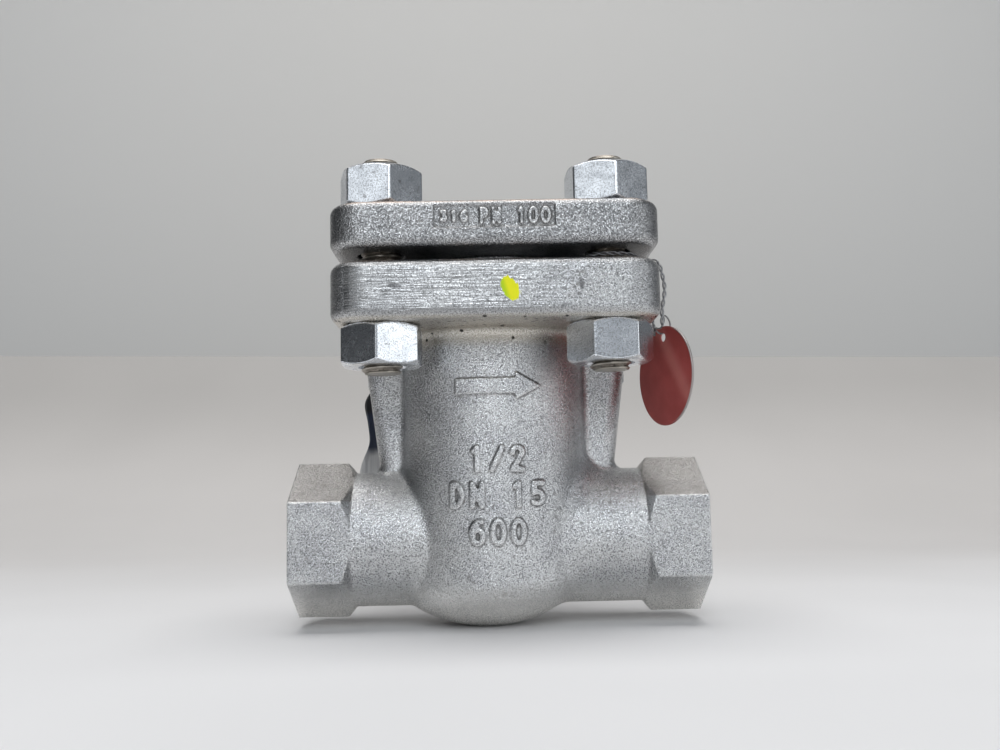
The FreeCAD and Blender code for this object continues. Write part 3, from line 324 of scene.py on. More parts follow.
def cast_material(name, ground_front, dark, pale):
    """Blasted casting with sparkling grain, pits, painted shade in corners, and edges that are
    abraded and carry a painted highlight.
    """
    material, tree = new_material(name)
    place, x, y, z = object_place(tree)
    wear_and_shading = put(tree, "Attribute", {"attribute_name": "bend_for_wear_and_shade"}).outputs["Fac"]
    grain = noise(tree, place, 3400.0, 2.0, 0.6)
    coarse = noise(tree, place, 520.0, 2.0, 0.55)
    cloud = noise(tree, place, 85.0, 3.0, 0.55)
    uneven = noise(tree, place, 210.0, 2.0, 0.5)
    blast = put(tree, "TexVoronoi", {"feature": "F1"}, Vector=place, Scale=2300.0)
    colour = blended(tree, ramp(tree, cloud, 0.3, 0.7), dark, pale)
    sparkle = ramp(tree, grain, 0.51, 0.66, 0.0, 0.64)
    colour = blended(tree, sparkle, colour, (0.90, 0.91, 0.92, 1))
    hollows = ramp(tree, grain, 0.49, 0.36, 0.0, 0.76)
    colour = blended(tree, hollows, colour, (0.07, 0.07, 0.073, 1))
    if ground_front:
        # Painted shade: the flange is darkened a little and the hexagons a little less, and the
        # hexagons' upper facets get a warm painted shade
        past_necks = ramp(tree, calc(tree, "ABSOLUTE", x), 0.0345, 0.0355)
        at_hexagons = times(tree, past_necks, ramp(tree, z, 0.0450, 0.0440))
        painted_front_shade = plus(tree, times(tree, at_hexagons, 0.10), ramp(tree, z, 0.0700, 0.0712, 0.0, 0.24))
        colour = blended(tree, painted_front_shade, colour, (0.06, 0.06, 0.062, 1))
        painted_warm_shade = times(tree, at_hexagons, ramp(tree, z, 0.0303, 0.0309))
        colour = blended(tree, times(tree, painted_warm_shade, 0.5), colour, (0.30, 0.27, 0.24, 1))
    pits = ramp(tree, coarse, 0.66, 0.74, 0.0, 0.6)
    colour = blended(tree, pits, colour, (0.22, 0.215, 0.21, 1))
    # Painted shade: corners and creases darkened by how far the surface bends inward.
    painted_crevice_shade = ramp(tree, wear_and_shading, 0.30, 0.46, 0.9, 0.0)
    colour = blended(tree, painted_crevice_shade, colour, (0.20, 0.197, 0.193, 1))
    # Edges that bend outward are brightened, partly abrasion and partly a painted highlight.
    rubbed_and_highlit = ramp(tree, plus(tree, wear_and_shading, wavering(tree, coarse, 0.35)), 0.56, 0.80, 0.0, 0.75)
    colour = blended(tree, rubbed_and_highlit, colour, (0.84, 0.84, 0.84, 1))
    roughness = plus(tree, ramp(tree, cloud, 0.25, 0.75, 0.20, 0.28),
                     ramp(tree, grain, 0.35, 0.65, 0.10, -0.03))
    height = times(tree, grain, 1.5)
    for texture, strength in ((coarse, 0.5), (uneven, 1.1), (blast.outputs["Distance"], 0.35)):
        height = plus(tree, height, times(tree, texture, strength))
    if ground_front:
        # Horizontal grinding lines fade out towards the right
        front = ramp(tree, y, -0.0360, -0.0366)
        lines = noise(tree, stretched(tree, place, (55.0, 1.0, 2300.0)), 1.0, 3.0, 0.6)
        fade = ramp(tree, plus(tree, x, wavering(tree, cloud, 0.05)), 0.020, 0.002)
        ground = times(tree, times(tree, front, fade), ramp(tree, z, 0.0705, 0.0725))
        height = put(tree, "Mix", {"data_type": "FLOAT"}, i0=ground, i2=height,
                     i3=times(tree, lines, 1.9)).outputs[0]
        colour = blended(tree, times(tree, ground, 0.22), colour, (0.10, 0.102, 0.105, 1))
        scored = times(tree, ground, ramp(tree, lines, 0.35, 0.6, 0.75, 0.0))
        colour = blended(tree, scored, colour, (0.30, 0.303, 0.306, 1))
        # The underside is yellowish with a few pinholes, and the front has two dark smudges
        under = times(tree, ramp(tree, z, 0.0655, 0.0685), ramp(tree, z, 0.0716, 0.0706))
        colour = blended(tree, times(tree, under, 0.7), colour, (0.62, 0.57, 0.49, 1))
        smudges = ((-0.0223, 0.0777, 0.0016, 0.0007), (0.0190, 0.0775, 0.0008, 0.0017))
        for middle, level, half_width, half_height in smudges:
            smudge = oval(tree, calc(tree, "SUBTRACT", x, middle), calc(tree, "SUBTRACT", z, level),
                          half_width, half_height)
            smudge = ramp(tree, plus(tree, smudge, wavering(tree, coarse, 2.0)), 1.1, 0.4, 0.0, 0.7)
            colour = blended(tree, times(tree, smudge, front), colour, (0.09, 0.09, 0.095, 1))
        cells = put(tree, "TexVoronoi", {"feature": "F1"}, Vector=place, Scale=430.0)
        lot = put(tree, "SeparateColor", Color=cells.outputs["Color"]).outputs["Red"]
        pinholes = times(tree, ramp(tree, lot, 0.42, 0.46),
                         ramp(tree, cells.outputs["Distance"], 0.25, 0.16))
        colour = blended(tree, times(tree, under, pinholes), colour, (0.03, 0.028, 0.025, 1))
    # The upper rim is tinted here and there, and the lowest part is paler and less metallic, a
    # painted reflection of the pale table
    top_face = (0.0832, 0.0838) if ground_front else (0.0963, 0.0969)
    outward = calc(tree, "MAXIMUM", calc(tree, "ABSOLUTE", x), calc(tree, "ABSOLUTE", y))
    rim = times(tree, ramp(tree, z, *top_face), ramp(tree, cloud, 0.40, 0.60))
    rim = times(tree, rim, ramp(tree, outward, 0.0325, 0.0362))
    colour = blended(tree, times(tree, rim, 0.6), colour, (0.62, 0.46, 0.36, 1))
    # Painted reflection of the pale table on the lowest part of the casting.
    painted_foot_reflection = ramp(tree, z, 0.0130, 0.0030)
    colour = blended(tree, times(tree, painted_foot_reflection, 0.85), colour, (0.88, 0.86, 0.82, 1))
    bump = put(tree, "Bump", Strength=1.0, Distance=0.00010, Height=height)
    surface = put(tree, "BsdfPrincipled", Base_Color=colour, Roughness=roughness,
                  Metallic=calc(tree, "SUBTRACT", 0.95, times(tree, painted_foot_reflection, 0.40)),
                  Normal=bump.outputs[0])
    if ground_front:
        # One short brush stroke of yellow paint, thinner and greener on its left edge
        up = calc(tree, "SUBTRACT", z, 0.0767)
        leaning = calc(tree, "SUBTRACT", calc(tree, "SUBTRACT", x, 0.0032), times(tree, up, -0.30))
        streaks = noise(tree, stretched(tree, place, (2600.0, 1.0, 420.0)), 1.0, 2.0, 0.6)
        stroke = plus(tree, oval(tree, leaning, up, 0.0020, 0.0028), wavering(tree, streaks, 1.5))
        dab = times(tree, ramp(tree, stroke, 1.05, 0.80), front)
        paint = blended(tree, ramp(tree, leaning, -0.0015, -0.0002), (0.50, 0.70, 0.03, 1),
                        (0.84, 0.84, 0.03, 1))
        painted = put(tree, "BsdfPrincipled", Base_Color=paint, Roughness=0.7,
                      Specular_IOR_Level=0.05)
        surface = put(tree, "MixShader", i0=dab, i1=surface.outputs[0], i2=painted.outputs[0])
    ends_in(tree, surface)
    return material


body = soft_copy("body", "body_casting", voxel=0.00025, passes=2, triangles=195000)
body.data.materials.append(
    cast_material("cast_body", True, (0.52, 0.528, 0.54, 1), (0.68, 0.686, 0.692, 1)))
# The cover is the same steel as the body in darker colours: painted shade.
cover = soft_copy("cover", "cover_casting", voxel=0.00024, passes=2, triangles=120000)
cover.data.materials.append(
    cast_material("cast_cover", False, (0.26, 0.265, 0.272, 1), (0.37, 0.373, 0.377, 1)))

# Heavy nuts: forged hexagons with bevelled corners, their facets smooth with rust-dark speckle
# Each has rounded corners and a threaded hole with a lead-in at both ends.
def nut_outline(angle, flats, corner):
    """Distance from the nut's centre to its rounded hexagon outline."""
    half = flats / 2
    turn = (angle + math.pi / 6) % (math.pi / 3) - math.pi / 6
    straight = half / math.cos(turn)
    inner = (half - corner) / math.cos(math.pi / 6)
    beside = math.pi / 6 - abs(turn)
    reach = corner ** 2 - (inner * math.sin(beside)) ** 2
    if reach < 0:
        return straight
    return min(straight, inner * math.cos(beside) + math.sqrt(reach))


nut_angles = [math.radians(side * 60 + step) for side in range(6)
              for step in (-29.8, -28.6, -27.2, -24, -16, -6, 6, 16, 24, 27.2, 28.6, 29.8)]
nut_rings = [("face", 0.0), ("face", 0.35), ("face", 0.7), ("face", 1.0),
             ("bevel", 0.08), ("bevel", 0.5), ("bevel", 0.92), ("bevel", 1.0), ("side", 1.0)]


def nut_piece(name, middle, base, height, flats, turn, bore, corner):
    """A hexagon nut with bevelled ends, rounded corners and lead-ins to its bore."""
    angles = [math.radians(turn) + a for a in nut_angles]
    face = flats / 2 * 0.985
    lead_in, lead_depth = bore * 1.16, bore * 0.16
    bevel_slope, rounding = 0.62, 0.00012
    ends = []
    for start, sign in ((0.0, -1), (height, 1)):
        rows = []
        for part, share in nut_rings:
            row = []
            for a, turned_a in zip(nut_angles, angles):
                outline = nut_outline(a, flats, corner)
                over = max(0.0, outline - face)
                if part == "face":
                    reach, drop = face - (face - lead_in) * (1 - share), 0.0
                elif part == "bevel":
                    reach = face + max(0.0, outline - rounding * (share == 1.0) - face) * share
                    drop = over * share * bevel_slope
                else:
                    reach, drop = outline, over * bevel_slope + 0.00022
                row.append((middle[0] + reach * math.cos(turned_a),
                            middle[1] + reach * math.sin(turned_a), base + start - sign * drop))
            rows.append(row)
        ends.append(rows)
    inside = [[(middle[0] + reach * math.cos(a), middle[1] + reach * math.sin(a), base + level)
               for a in angles]
              for level, reach in ((height - lead_depth, bore), (lead_depth, bore), (0.0, lead_in))]
    mesh = grid_mesh(name, ends[0] + ends[1][::-1] + inside, closed=True)
    clean(mesh, crease=24)
    add_bend_for_wear_and_shade(mesh, 1)
    return add_object(name, mesh)


def shaded(colour, share):
    return tuple(c * share for c in colour[:3]) + (1,)


def forged_material(name, base, dark, roughness, speckle, worn_and_highlit=(0.86, 0.87, 0.88, 1)):
    """Steel with dark clouds, pores and speckle, brighter on its edges, partly abraded and partly a
    painted highlight.
    """
    material, tree = new_material(name)
    place = put(tree, "TexCoord").outputs["Object"]
    wear_and_shading = put(tree, "Attribute", {"attribute_name": "bend_for_wear_and_shade"}).outputs["Fac"]
    fine = noise(tree, place, 1900.0, 2.0, 0.5)
    spots = noise(tree, place, 620.0, 3.0, 0.6)
    cloud = noise(tree, place, 140.0, 3.0, 0.6, 0.6)
    colour = blended(tree, ramp(tree, cloud, 0.35, 0.7, 0.0, 0.6), base, dark)
    pores = ramp(tree, noise(tree, place, 3600.0, 1.0, 0.5), 0.50, 0.38, 0.0, 0.55)
    colour = blended(tree, pores, colour, shaded(dark, 0.4))
    speckled = ramp(tree, spots, 0.62, 0.68, 0.0, speckle)
    colour = blended(tree, speckled, colour, (0.12, 0.11, 0.10, 1))
    # Brighter edges: partly abrasion, partly a painted highlight.
    colour = blended(tree, ramp(tree, wear_and_shading, 0.54, 0.75, 0.0, 0.9), colour, worn_and_highlit)
    patches = plus(tree, times(tree, cloud, 0.7), times(tree, fine, 0.3))
    rough = ramp(tree, patches, 0.3, 0.7, roughness, roughness + 0.12)
    height = plus(tree, times(tree, fine, 0.5), times(tree, spots, 0.8))
    bump = put(tree, "Bump", Strength=0.35, Distance=0.00005, Height=height)
    ends_in(tree, put(tree, "BsdfPrincipled", Base_Color=colour, Metallic=1.0, Roughness=rough,
                      Normal=bump.outputs[0]))
    return material


nut_metal = forged_material("nut_steel", (0.80, 0.83, 0.87, 1), (0.66, 0.69, 0.73, 1),
                            roughness=0.18, speckle=0.45)
nut_turns = {
    "upper_nut_front_left": 15.9, "upper_nut_front_right": 7.3,
    "upper_nut_rear_left": 24.0, "upper_nut_rear_right": -9.0,
    "lower_nut_front_left": -2.4, "lower_nut_front_right": -27.3,
    "lower_nut_rear_left": 11.0, "lower_nut_rear_right": 33.0}
for node, turn in nut_turns.items():
    stud_low, stud_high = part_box(
        node.replace("upper_nut", "cover_stud").replace("lower_nut", "cover_stud"))
    low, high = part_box(node)
    nut = nut_piece(node + "_forged", ((stud_low + stud_high) / 2)[:2], low.z, high.z - low.z,
                    flats=0.01746, turn=turn, bore=0.00482, corner=0.00045)
    nut.data.materials.append(nut_metal)
    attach(nut, "casing")
    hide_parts(node)

# Cover studs: threaded over their whole length, 16 threads to the inch, with bevelled ends
# They are coloured dark brown all over, painted shade of the dark gap between the flanges.
def threaded_rod(name, middle, low, high, radius, depth, pitch, bevel):
    """A rod whose surface rises and falls along one helix, bevelled at both ends."""
    around = 40
    rows = []
    steps = int(round((high - low) / (pitch / 8)))
    for number in range(steps + 1):
        z = low + (high - low) * number / steps
        row = []
        for side in range(around):
            a = 2 * math.pi * side / around
            phase = (z / pitch - side / around) % 1.0
            sunk = min(1.0, max(0.0, abs(phase - 0.5) * 2.6 - 0.15))
            reach = min(radius - depth * sunk, radius - bevel + min(z - low, high - z))
            row.append((middle[0] + reach * math.cos(a), middle[1] + reach * math.sin(a), z))
        rows.append(row)
    rows = capped(rows, (middle[0], middle[1], low), (middle[0], middle[1], high))
    mesh = grid_mesh(name, rows, closed=True)
    clean(mesh, crease=40)
    add_bend_for_wear_and_shade(mesh, 1)
    return add_object(name, mesh)


# Dark brown all over: painted shade of the flange gap.
stud_metal = forged_material("stud_steel", (0.34, 0.31, 0.27, 1), (0.15, 0.13, 0.11, 1),
                             roughness=0.36, speckle=0.8, worn_and_highlit=(0.46, 0.43, 0.38, 1))
for corner in ("front_left", "front_right", "rear_left", "rear_right"):
    node = "cover_stud_" + corner
    low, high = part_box(node)
    middle = (low + high) / 2
    stud = threaded_rod(node + "_threaded", middle[:2], low.z, high.z,
                        radius=0.00476, depth=0.0008, pitch=0.0015875, bevel=0.0008)
    stud.data.materials.append(stud_metal)
    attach(stud, "casing")
    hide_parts(node)

# Pipe threads in both ends: 14 threads to the inch, running out before the bottom of the bore
# They are cut into the casting, so they share its colour.
def inner_thread(name, mouth, inward, wall, crest, pitch, length):
    """One ridge wound into a bore from its mouth, rising quickly and running out softly."""
    around = 48
    turns = int(length / pitch)
    buried, root = wall + 0.0003, wall - 0.00002
    rows = []
    for number in range(turns * around + 1):
        share = number / (turns * around)
        a = 2 * math.pi * number / around
        run = min(1.0, share * turns * 1.5, (1 - share) * turns * 0.7)
        tip = wall - (wall - crest) * max(0.05, run)
        x = mouth + inward * (0.0006 + pitch * 0.5 + number / around * pitch)
        rows.append([(x + off * pitch, reach * math.cos(a), PORT + reach * math.sin(a))
                     for off, reach in ((-0.47, buried), (-0.47, root), (-0.06, tip), (0.06, tip),
                                        (0.47, root), (0.47, buried))])
    mesh = grid_mesh(name, rows, closed=True)
    clean(mesh, weld=None, crease=30)
    add_bend_for_wear_and_shade(mesh, 0)
    return add_object(name, mesh)


cut_metal = forged_material("cut_steel", (0.62, 0.62, 0.61, 1), (0.50, 0.50, 0.49, 1),
                            roughness=0.26, speckle=0.3)
for name, mouth, inward in (("inlet_pipe_thread", -0.0499, 1), ("outlet_pipe_thread", 0.0499, -1)):
    thread = inner_thread(name, mouth, inward,
                          wall=0.0099, crest=0.00918, pitch=0.001814, length=0.0148)
    thread.data.materials.append(cut_metal)
    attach(thread, "casing")

# Gasket: steel and graphite wound in a spiral
# Graphite is dark, and the steel windings are coloured nearly as dark: painted shade of the narrow
# gap between the flanges where it shows.
gasket_material, tree = new_material("gasket_windings")
place, x, y, _ = object_place(tree)
windings = calc(tree, "SINE", times(tree, calc(tree, "SQRT", squares(tree, x, y)), 9000.0))
dust = noise(tree, place, 700.0, 3.0)
colour = blended(tree, ramp(tree, windings, -0.4, 0.6), (0.035, 0.035, 0.037, 1),
                 (0.20, 0.20, 0.20, 1))
colour = blended(tree, ramp(tree, dust, 0.5, 0.8, 0.0, 0.5), colour, (0.14, 0.13, 0.12, 1))
bump = put(tree, "Bump", Strength=0.5, Distance=0.0001, Height=windings)
ends_in(tree, put(tree, "BsdfPrincipled", Base_Color=colour, Metallic=0.35, Roughness=0.55,
                  Normal=bump.outputs[0]))


def dress(node, material):
    """Give a CAD node its finished material."""
    kept = nodes[node].data
    kept.materials.clear()
    kept.materials.append(material)


dress("cover_gasket", gasket_material)


# Inner pieces: seat ring and disc are fine turned, arm and bracket are cast and tumbled
# The screws, washer, nut and pins are plain bright steel.
def turned_material(name, scale, base):
    """Bright steel with fine turning rings round the pipe ends' axis."""
    material, tree = new_material(name)
    place = put(tree, "TexCoord").outputs["Object"]
    from_axis = put(tree, "VectorMath", {"operation": "SUBTRACT"}, i0=place,
                    i1=(0.0, 0.0, PORT)).outputs[0]
    x, y, z = put(tree, "SeparateXYZ", Vector=from_axis).outputs
    around = calc(tree, "SQRT", squares(tree, y, z))
    rings = calc(tree, "SINE", times(tree, plus(tree, around, x), scale))
    cloud = noise(tree, place, 260.0, 3.0)
    colour = blended(tree, ramp(tree, cloud, 0.3, 0.7), base, shaded(base, 0.86))
    bump = put(tree, "Bump", Strength=0.3, Distance=0.00005, Height=rings)
    rough = ramp(tree, cloud, 0.3, 0.7, 0.20, 0.30)
    ends_in(tree, put(tree, "BsdfPrincipled", Base_Color=colour, Metallic=1.0, Roughness=rough,
                      Normal=bump.outputs[0]))
    return material


seat_metal = turned_material("turned_stainless", 26000.0, (0.70, 0.70, 0.69, 1))
trim_metal = forged_material("trim_stainless", (0.60, 0.60, 0.60, 1), (0.52, 0.52, 0.51, 1),
                             roughness=0.32, speckle=0.25)
for node in ("seat_ring", "disc", "hinge_pin"):
    dress(node, seat_metal)
for node in ("hinge_arm", "hinge_bracket", "disc_washer", "disc_nut", "bracket_screw_front",
             "bracket_screw_rear", "disc_split_pin"):
    dress(node, trim_metal)

# Red tag: a thin enamelled disc, slightly dished, its edge rubbed bare on one side
# It hangs by a small hole near its rim and shows a broad soft fold from the hole downwards, with a
# painted highlight along the fold and painted shade beyond it.
tag_radius, hole_radius, hole_up = 0.0121, 0.00105, 0.0094
tag_turn = math.radians(68.0)
tag_across = Vector((math.cos(tag_turn), -math.sin(tag_turn), 0.0))
tag_face = Vector((-math.sin(tag_turn), -math.cos(tag_turn), 0.0))
tag_hole = Vector((0.0412, -0.012, PORT + 0.0477))
tag_middle = tag_hole - Vector((0, 0, hole_up))


def tag_height(across, up):
    """How far the sheet stands off its mean plane: a shallow dish and one fold."""
    fold = (across * 0.82 + (up - hole_up) * 0.57) / tag_radius
    return 0.00010 * math.cos(across * 190.0) + 0.00009 * math.exp(-(fold * 3.2) ** 2)


def tag_rows(side):
    """Rings of the tag from its hole to its rim on one face."""
    rows = []
    for share in (0.0, 0.04, 0.12, 0.25, 0.4, 0.55, 0.7, 0.82, 0.91, 0.96, 0.985, 1.0):
        half_thick = 0.00012 if share in (0.0, 1.0) else 0.00028
        row = []
        for step in range(96):
            a = 2 * math.pi * step / 96
            hole = Vector((hole_radius * math.cos(a), hole_up + hole_radius * math.sin(a)))
            rim = Vector((tag_radius * math.cos(a), tag_radius * math.sin(a)))
            flat = hole.lerp(rim, share)
            off = tag_height(flat.x, flat.y) + side * half_thick
            row.append(tag_middle + tag_across * flat.x + Vector((0, 0, flat.y)) + tag_face * off)
        rows.append(row)
    return rows


tag_mesh = grid_mesh("tag_sheet", tag_rows(-1) + tag_rows(1)[::-1] + tag_rows(-1)[:1], closed=True)
clean(tag_mesh)
spread = tag_mesh.uv_layers.new(name="tag_plane")
for loop in tag_mesh.loops:
    away = tag_mesh.vertices[loop.vertex_index].co - tag_middle
    spread.data[loop.index].uv = (away.dot(tag_across) / tag_radius, away.z / tag_radius)
tag = add_object("tag_sheet", tag_mesh)
tag_material, tree = new_material("red_enamel")
plane = put(tree, "UVMap", {"uv_map": "tag_plane"}).outputs[0]
across, up, _ = put(tree, "SeparateXYZ", Vector=plane).outputs
reach = put(tree, "VectorMath", {"operation": "LENGTH"}, i0=plane).outputs["Value"]
fold = plus(tree, times(tree, across, 0.82), times(tree, calc(tree, "SUBTRACT", up, 0.77), 0.57))
haze = noise(tree, plane, 2.2, 3.0)
# Painted highlight in a strip along the fold, and painted shade beyond the fold.
painted_fold_highlight = ramp(tree, calc(tree, "ABSOLUTE", plus(tree, fold, 0.02)), 0.26, 0.02)
colour = blended(tree, ramp(tree, haze, 0.3, 0.7), (0.31, 0.053, 0.048, 1), (0.37, 0.070, 0.064, 1))
colour = blended(tree, times(tree, painted_fold_highlight, 0.45), colour, (0.55, 0.20, 0.175, 1))
colour = blended(tree, ramp(tree, fold, 0.25, 0.6, 0.0, 0.35), colour, (0.26, 0.045, 0.042, 1))
scratches = noise(tree, stretched(tree, plane, (3.0, 42.0, 1.0)), 1.0, 3.0)
colour = blended(tree, ramp(tree, scratches, 0.70, 0.76, 0.0, 0.35), colour, (0.50, 0.20, 0.17, 1))
bare_side = ramp(tree, plus(tree, across, times(tree, haze, 0.4)), 0.35, 0.75)
bare = times(tree, ramp(tree, reach, 0.970, 0.985), bare_side)
bump = put(tree, "Bump", Strength=0.2, Distance=0.0001, Height=haze)
enamel = put(tree, "BsdfPrincipled", Base_Color=colour, Roughness=0.50, Specular_IOR_Level=0.35,
             Normal=bump.outputs[0])
metal = put(tree, "BsdfPrincipled", Base_Color=(0.40, 0.36, 0.35, 1), Metallic=0.9,
            Roughness=0.45)
ends_in(tree, put(tree, "MixShader", i0=bare, i1=enamel.outputs[0], i2=metal.outputs[0]))
tag.data.materials.append(tag_material)
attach(tag, "hanging_tag")
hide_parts("red_tag")

# Tie wire: two thin strands twisted together, round the front right stud, out of the flange gap
# and down the flange's side, with a loop through the tag's hole and short twisted ends.
def travelled(line):
    """The way gone along a line at each of its points."""
    return np.concatenate(([0.0], np.cumsum(np.linalg.norm(np.diff(line, axis=0), axis=1))))


def directions(line):
    along = np.gradient(line, axis=0)
    return along / np.linalg.norm(along, axis=1)[:, None]


def crossings(line):
    """Two directions across a line at each point, turned as little as possible along it."""
    along = directions(line)
    side = np.cross(along[0], (0.31, 0.17, 0.93))
    for way in along:
        side = side - way * side.dot(way)
        side /= np.linalg.norm(side)
        yield side, np.cross(way, side)


def smooth_line(points, step):
    """Even points along one smooth open curve led by a list of control points."""
    drawn = bpy.data.curves.new("line", "CURVE")
    drawn.dimensions = "3D"
    spline = drawn.splines.new("NURBS")
    spline.points.add(len(points) - 1)
    for knot, point in zip(spline.points, points):
        knot.co = (*point, 1.0)
    spline.order_u = 4
    spline.use_endpoint_u = True
    spline.resolution_u = 12
    holder = bpy.data.objects.new("line", drawn)
    scene.collection.objects.link(holder)
    bpy.context.view_layer.update()
    mesh = bpy.data.meshes.new_from_object(holder)
    line = np.array([v.co for v in mesh.vertices])
    bpy.data.objects.remove(holder)
    bpy.data.meshes.remove(mesh)
    gone = travelled(line)
    even = np.linspace(0.0, gone[-1], max(2, int(gone[-1] / step)))
    return np.stack([np.interp(even, gone, line[:, axis]) for axis in range(3)], axis=1)


def tube_rows(line, radius):
    """Rings of a round tube along a line."""
    angles = [2 * math.pi * k / 10 for k in range(10)]
    rows = [[point + radius * (side * math.cos(a) + up * math.sin(a)) for a in angles]
            for point, (side, up) in zip(line, crossings(line))]
    return capped(rows, line[0], line[-1])


def twisted(line, offset, pitch):
    """Two strands wound round a line."""
    strands = []
    for start in (0.0, math.pi):
        strand = []
        for point, (side, up), gone in zip(line, crossings(line), travelled(line)):
            turn = start + 2 * math.pi * gone / pitch
            strand.append(point + offset * (side * math.cos(turn) + up * math.sin(turn)))
        strands.append(np.array(strand))
    return strands


def joined_tubes(name, lines, radius):
    """One mesh of several closed tubes."""
    shape = bmesh.new()
    for line in lines:
        tube = grid_mesh(name, tube_rows(np.array(line), radius), closed=True)
        shape.from_mesh(tube)
        bpy.data.meshes.remove(tube)
    bmesh.ops.remove_doubles(shape, verts=shape.verts, dist=1e-7)
    bmesh.ops.recalc_face_normals(shape, faces=shape.faces)
    mesh = bpy.data.meshes.new(name)
    shape.to_mesh(mesh)
    shape.free()
    mesh.polygons.foreach_set("use_smooth", [True] * len(mesh.polygons))
    add_bend_for_wear_and_shade(mesh, 0)
    return add_object(name, mesh)


def by_hole(off, x, y, z):
    """A point beside the tag's hole, the first value off the tag's face."""
    return tuple(tag_hole + tag_face * off + Vector((x, y, z)))


half_flange = 0.0375
flange_top = PORT + 0.0493 + 0.0136
gap = flange_top + 0.00137
stud = Vector((0.0262, -0.0262, gap))
flange_out = half_flange + 0.00075
pair_line = smooth_line([
    (stud.x - 0.0030, stud.y + 0.0058, gap), (stud.x - 0.0062, stud.y + 0.0052, gap),
    (stud.x - 0.0066, stud.y - 0.0030, gap), (stud.x - 0.0040, stud.y - 0.0064, gap),
    (stud.x + 0.0040, stud.y - 0.0064, gap), (stud.x + 0.0066, stud.y - 0.0020, gap),
    (stud.x + 0.0080, -0.0246, gap), (flange_out - 0.0012, -0.0244, gap),
    (flange_out + 0.0003, -0.0244, gap - 0.0006), (flange_out + 0.0008, -0.0244, gap - 0.0032),
    (flange_out + 0.0016, -0.0240, gap - 0.0066), (flange_out + 0.0010, -0.0236, gap - 0.0100),
    (flange_out + 0.0005, -0.0232, gap - 0.0128), (flange_out + 0.0008, -0.0228, gap - 0.0152)],
    step=0.00025)
loop_line = smooth_line([
    tuple(pair_line[-1]), (flange_out + 0.0006, -0.0210, gap - 0.0162),
    by_hole(0.0015, -0.0012, 0.0, 0.0030), by_hole(0.0010, -0.0007, 0.0, 0.0010),
    by_hole(0.0, -0.0003, 0.0, 0.0008), by_hole(-0.0012, 0.0002, 0.0, 0.0016),
    by_hole(-0.0015, 0.0006, 0.0, 0.0034), by_hole(-0.0002, 0.0006, -0.0002, 0.0054),
    by_hole(0.0020, 0.0008, -0.0030, 0.0050),
    (flange_out + 0.0016, -0.0220, gap - 0.0136), tuple(pair_line[-1])], step=0.00025)
tail_line = smooth_line([
    by_hole(0.0016, -0.0014, 0.0, 0.0046), by_hole(0.0016, -0.0011, 0.0, 0.0030),
    by_hole(0.0014, -0.0008, 0.0, 0.0016), by_hole(0.0013, -0.0014, 0.0, 0.0004)], step=0.0002)
wire_lines = twisted(pair_line, offset=0.00030, pitch=0.0042) + [loop_line]
wire_lines += twisted(tail_line, offset=0.00020, pitch=0.0022)
wire = joined_tubes("tie_wire", wire_lines, radius=0.00021)
wire_metal = forged_material("tie_wire", (0.24, 0.245, 0.25, 1), (0.12, 0.12, 0.12, 1),
                             roughness=0.30, speckle=0.4, worn_and_highlit=(0.30, 0.30, 0.31, 1))
wire.data.materials.append(wire_metal)
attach(wire, "casing")
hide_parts("tag_wire")

# Strap label: a strip of printed film, tucked in the flange gap and hung over the rear edge
# It is black above, narrows in a twist, turns navy and ends in a wide grey part.
label_out = half_flange + 0.00055
strap_knots = [
    # x, y, z below the gap, half width, turn about the upright
    (-0.0275, 0.0312, 0.0, 0.0023, 0),
    (-0.0275, 0.0342, 0.0, 0.0023, 0),
    (-0.0275, 0.0366, 0.0001, 0.0023, 0),
    (-0.0276, label_out, 0.0011, 0.0024, 0),
    (-0.0280, label_out, 0.0056, 0.00253, 0),
    (-0.0295, label_out + 0.0003, 0.0160, 0.0026, 4),
    (-0.0320, label_out + 0.0002, 0.0226, 0.00253, 10),
    (-0.0359, label_out - 0.0006, 0.0268, 0.0024, 18),
    (-0.0342, label_out - 0.0012, 0.0316, 0.0017, 40),
    (-0.0344, label_out - 0.0016, 0.0364, 0.0042, 14),
    (-0.0344, label_out - 0.0018, 0.0426, 0.0053, 5),
    (-0.0341, label_out - 0.0020, 0.0560, 0.0053, 3)]
half_film = 0.00012
spine = smooth_line([(x, y, gap - down) for x, y, down, half, turn in strap_knots], step=0.0006)
at_knots, at_points = np.linspace(0, 1, len(strap_knots)), np.linspace(0, 1, len(spine))
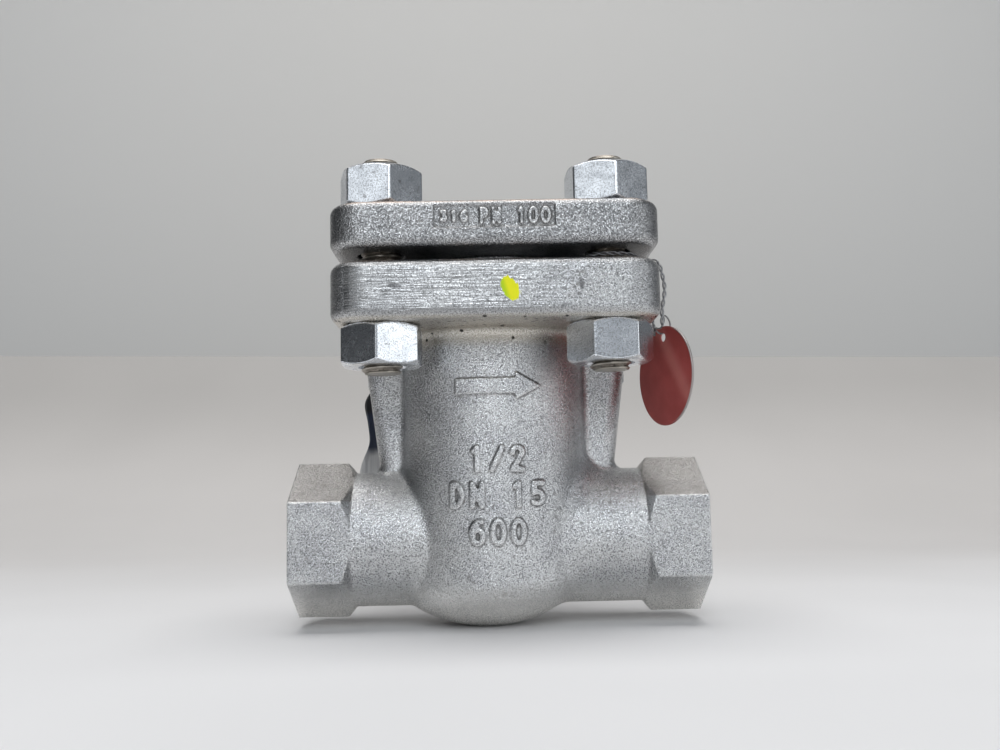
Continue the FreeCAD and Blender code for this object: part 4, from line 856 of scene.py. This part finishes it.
halves = np.interp(at_points, at_knots, [half for x, y, down, half, turn in strap_knots])
turns = np.interp(at_points, at_knots, [turn for x, y, down, half, turn in strap_knots])
halves = np.convolve(np.pad(halves, 4, "edge"), np.ones(9) / 9, "valid")
strap_rows = []
for number, (point, half, turn, way) in enumerate(zip(spine, halves, turns, directions(spine))):
    across = np.array((math.cos(math.radians(turn)), math.sin(math.radians(turn)), 0.0))
    through = np.cross(across, way)
    through /= np.linalg.norm(through)
    curl = 0.00035 * math.sin(number * 0.09)
    strap_rows.append([
        point + across * half * at + through * (side * half_film + curl * (at ** 2 - 0.5))
        for side in (1, -1) for at in np.linspace(-side, side, 9)])
strap_rows = capped(strap_rows, strap_rows[0][0], strap_rows[-1][0])
strap_mesh = grid_mesh("strap_film", strap_rows, closed=True)
clean(strap_mesh)
strap = add_object("strap_film", strap_mesh)
strap_material, tree = new_material("printed_film")
place, x, _, z = object_place(tree)
wavy = wavering(tree, noise(tree, place, 180.0, 2.0), 0.004)
level = plus(tree, plus(tree, z, wavy), times(tree, x, -0.25))
# The level counts sideways places too, which adds 8.5 mm where the strap narrows
twist_level = gap - 0.0314 + 0.0085
black_above = ramp(tree, level, twist_level + 0.001, twist_level + 0.003)
colour = blended(tree, black_above, (0.020, 0.028, 0.055, 1), (0.012, 0.012, 0.014, 1))
stripes = noise(tree, stretched(tree, place, (900.0, 900.0, 25.0)), 1.0, 2.0)
grey = blended(tree, ramp(tree, stripes, 0.35, 0.65), (0.40, 0.40, 0.41, 1), (0.58, 0.58, 0.58, 1))
grey_below = ramp(tree, level, twist_level - 0.0085, twist_level - 0.0110)
colour = blended(tree, grey_below, colour, grey)
rough = ramp(tree, stripes, 0.3, 0.7, 0.28, 0.45)
bump = put(tree, "Bump", Strength=0.3, Distance=0.0002, Height=noise(tree, place, 350.0, 2.0))
ends_in(tree, put(tree, "BsdfPrincipled", Base_Color=colour, Roughness=rough,
                  Normal=bump.outputs[0]))
strap.data.materials.append(strap_material)
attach(strap, "casing")
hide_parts("strap_label")
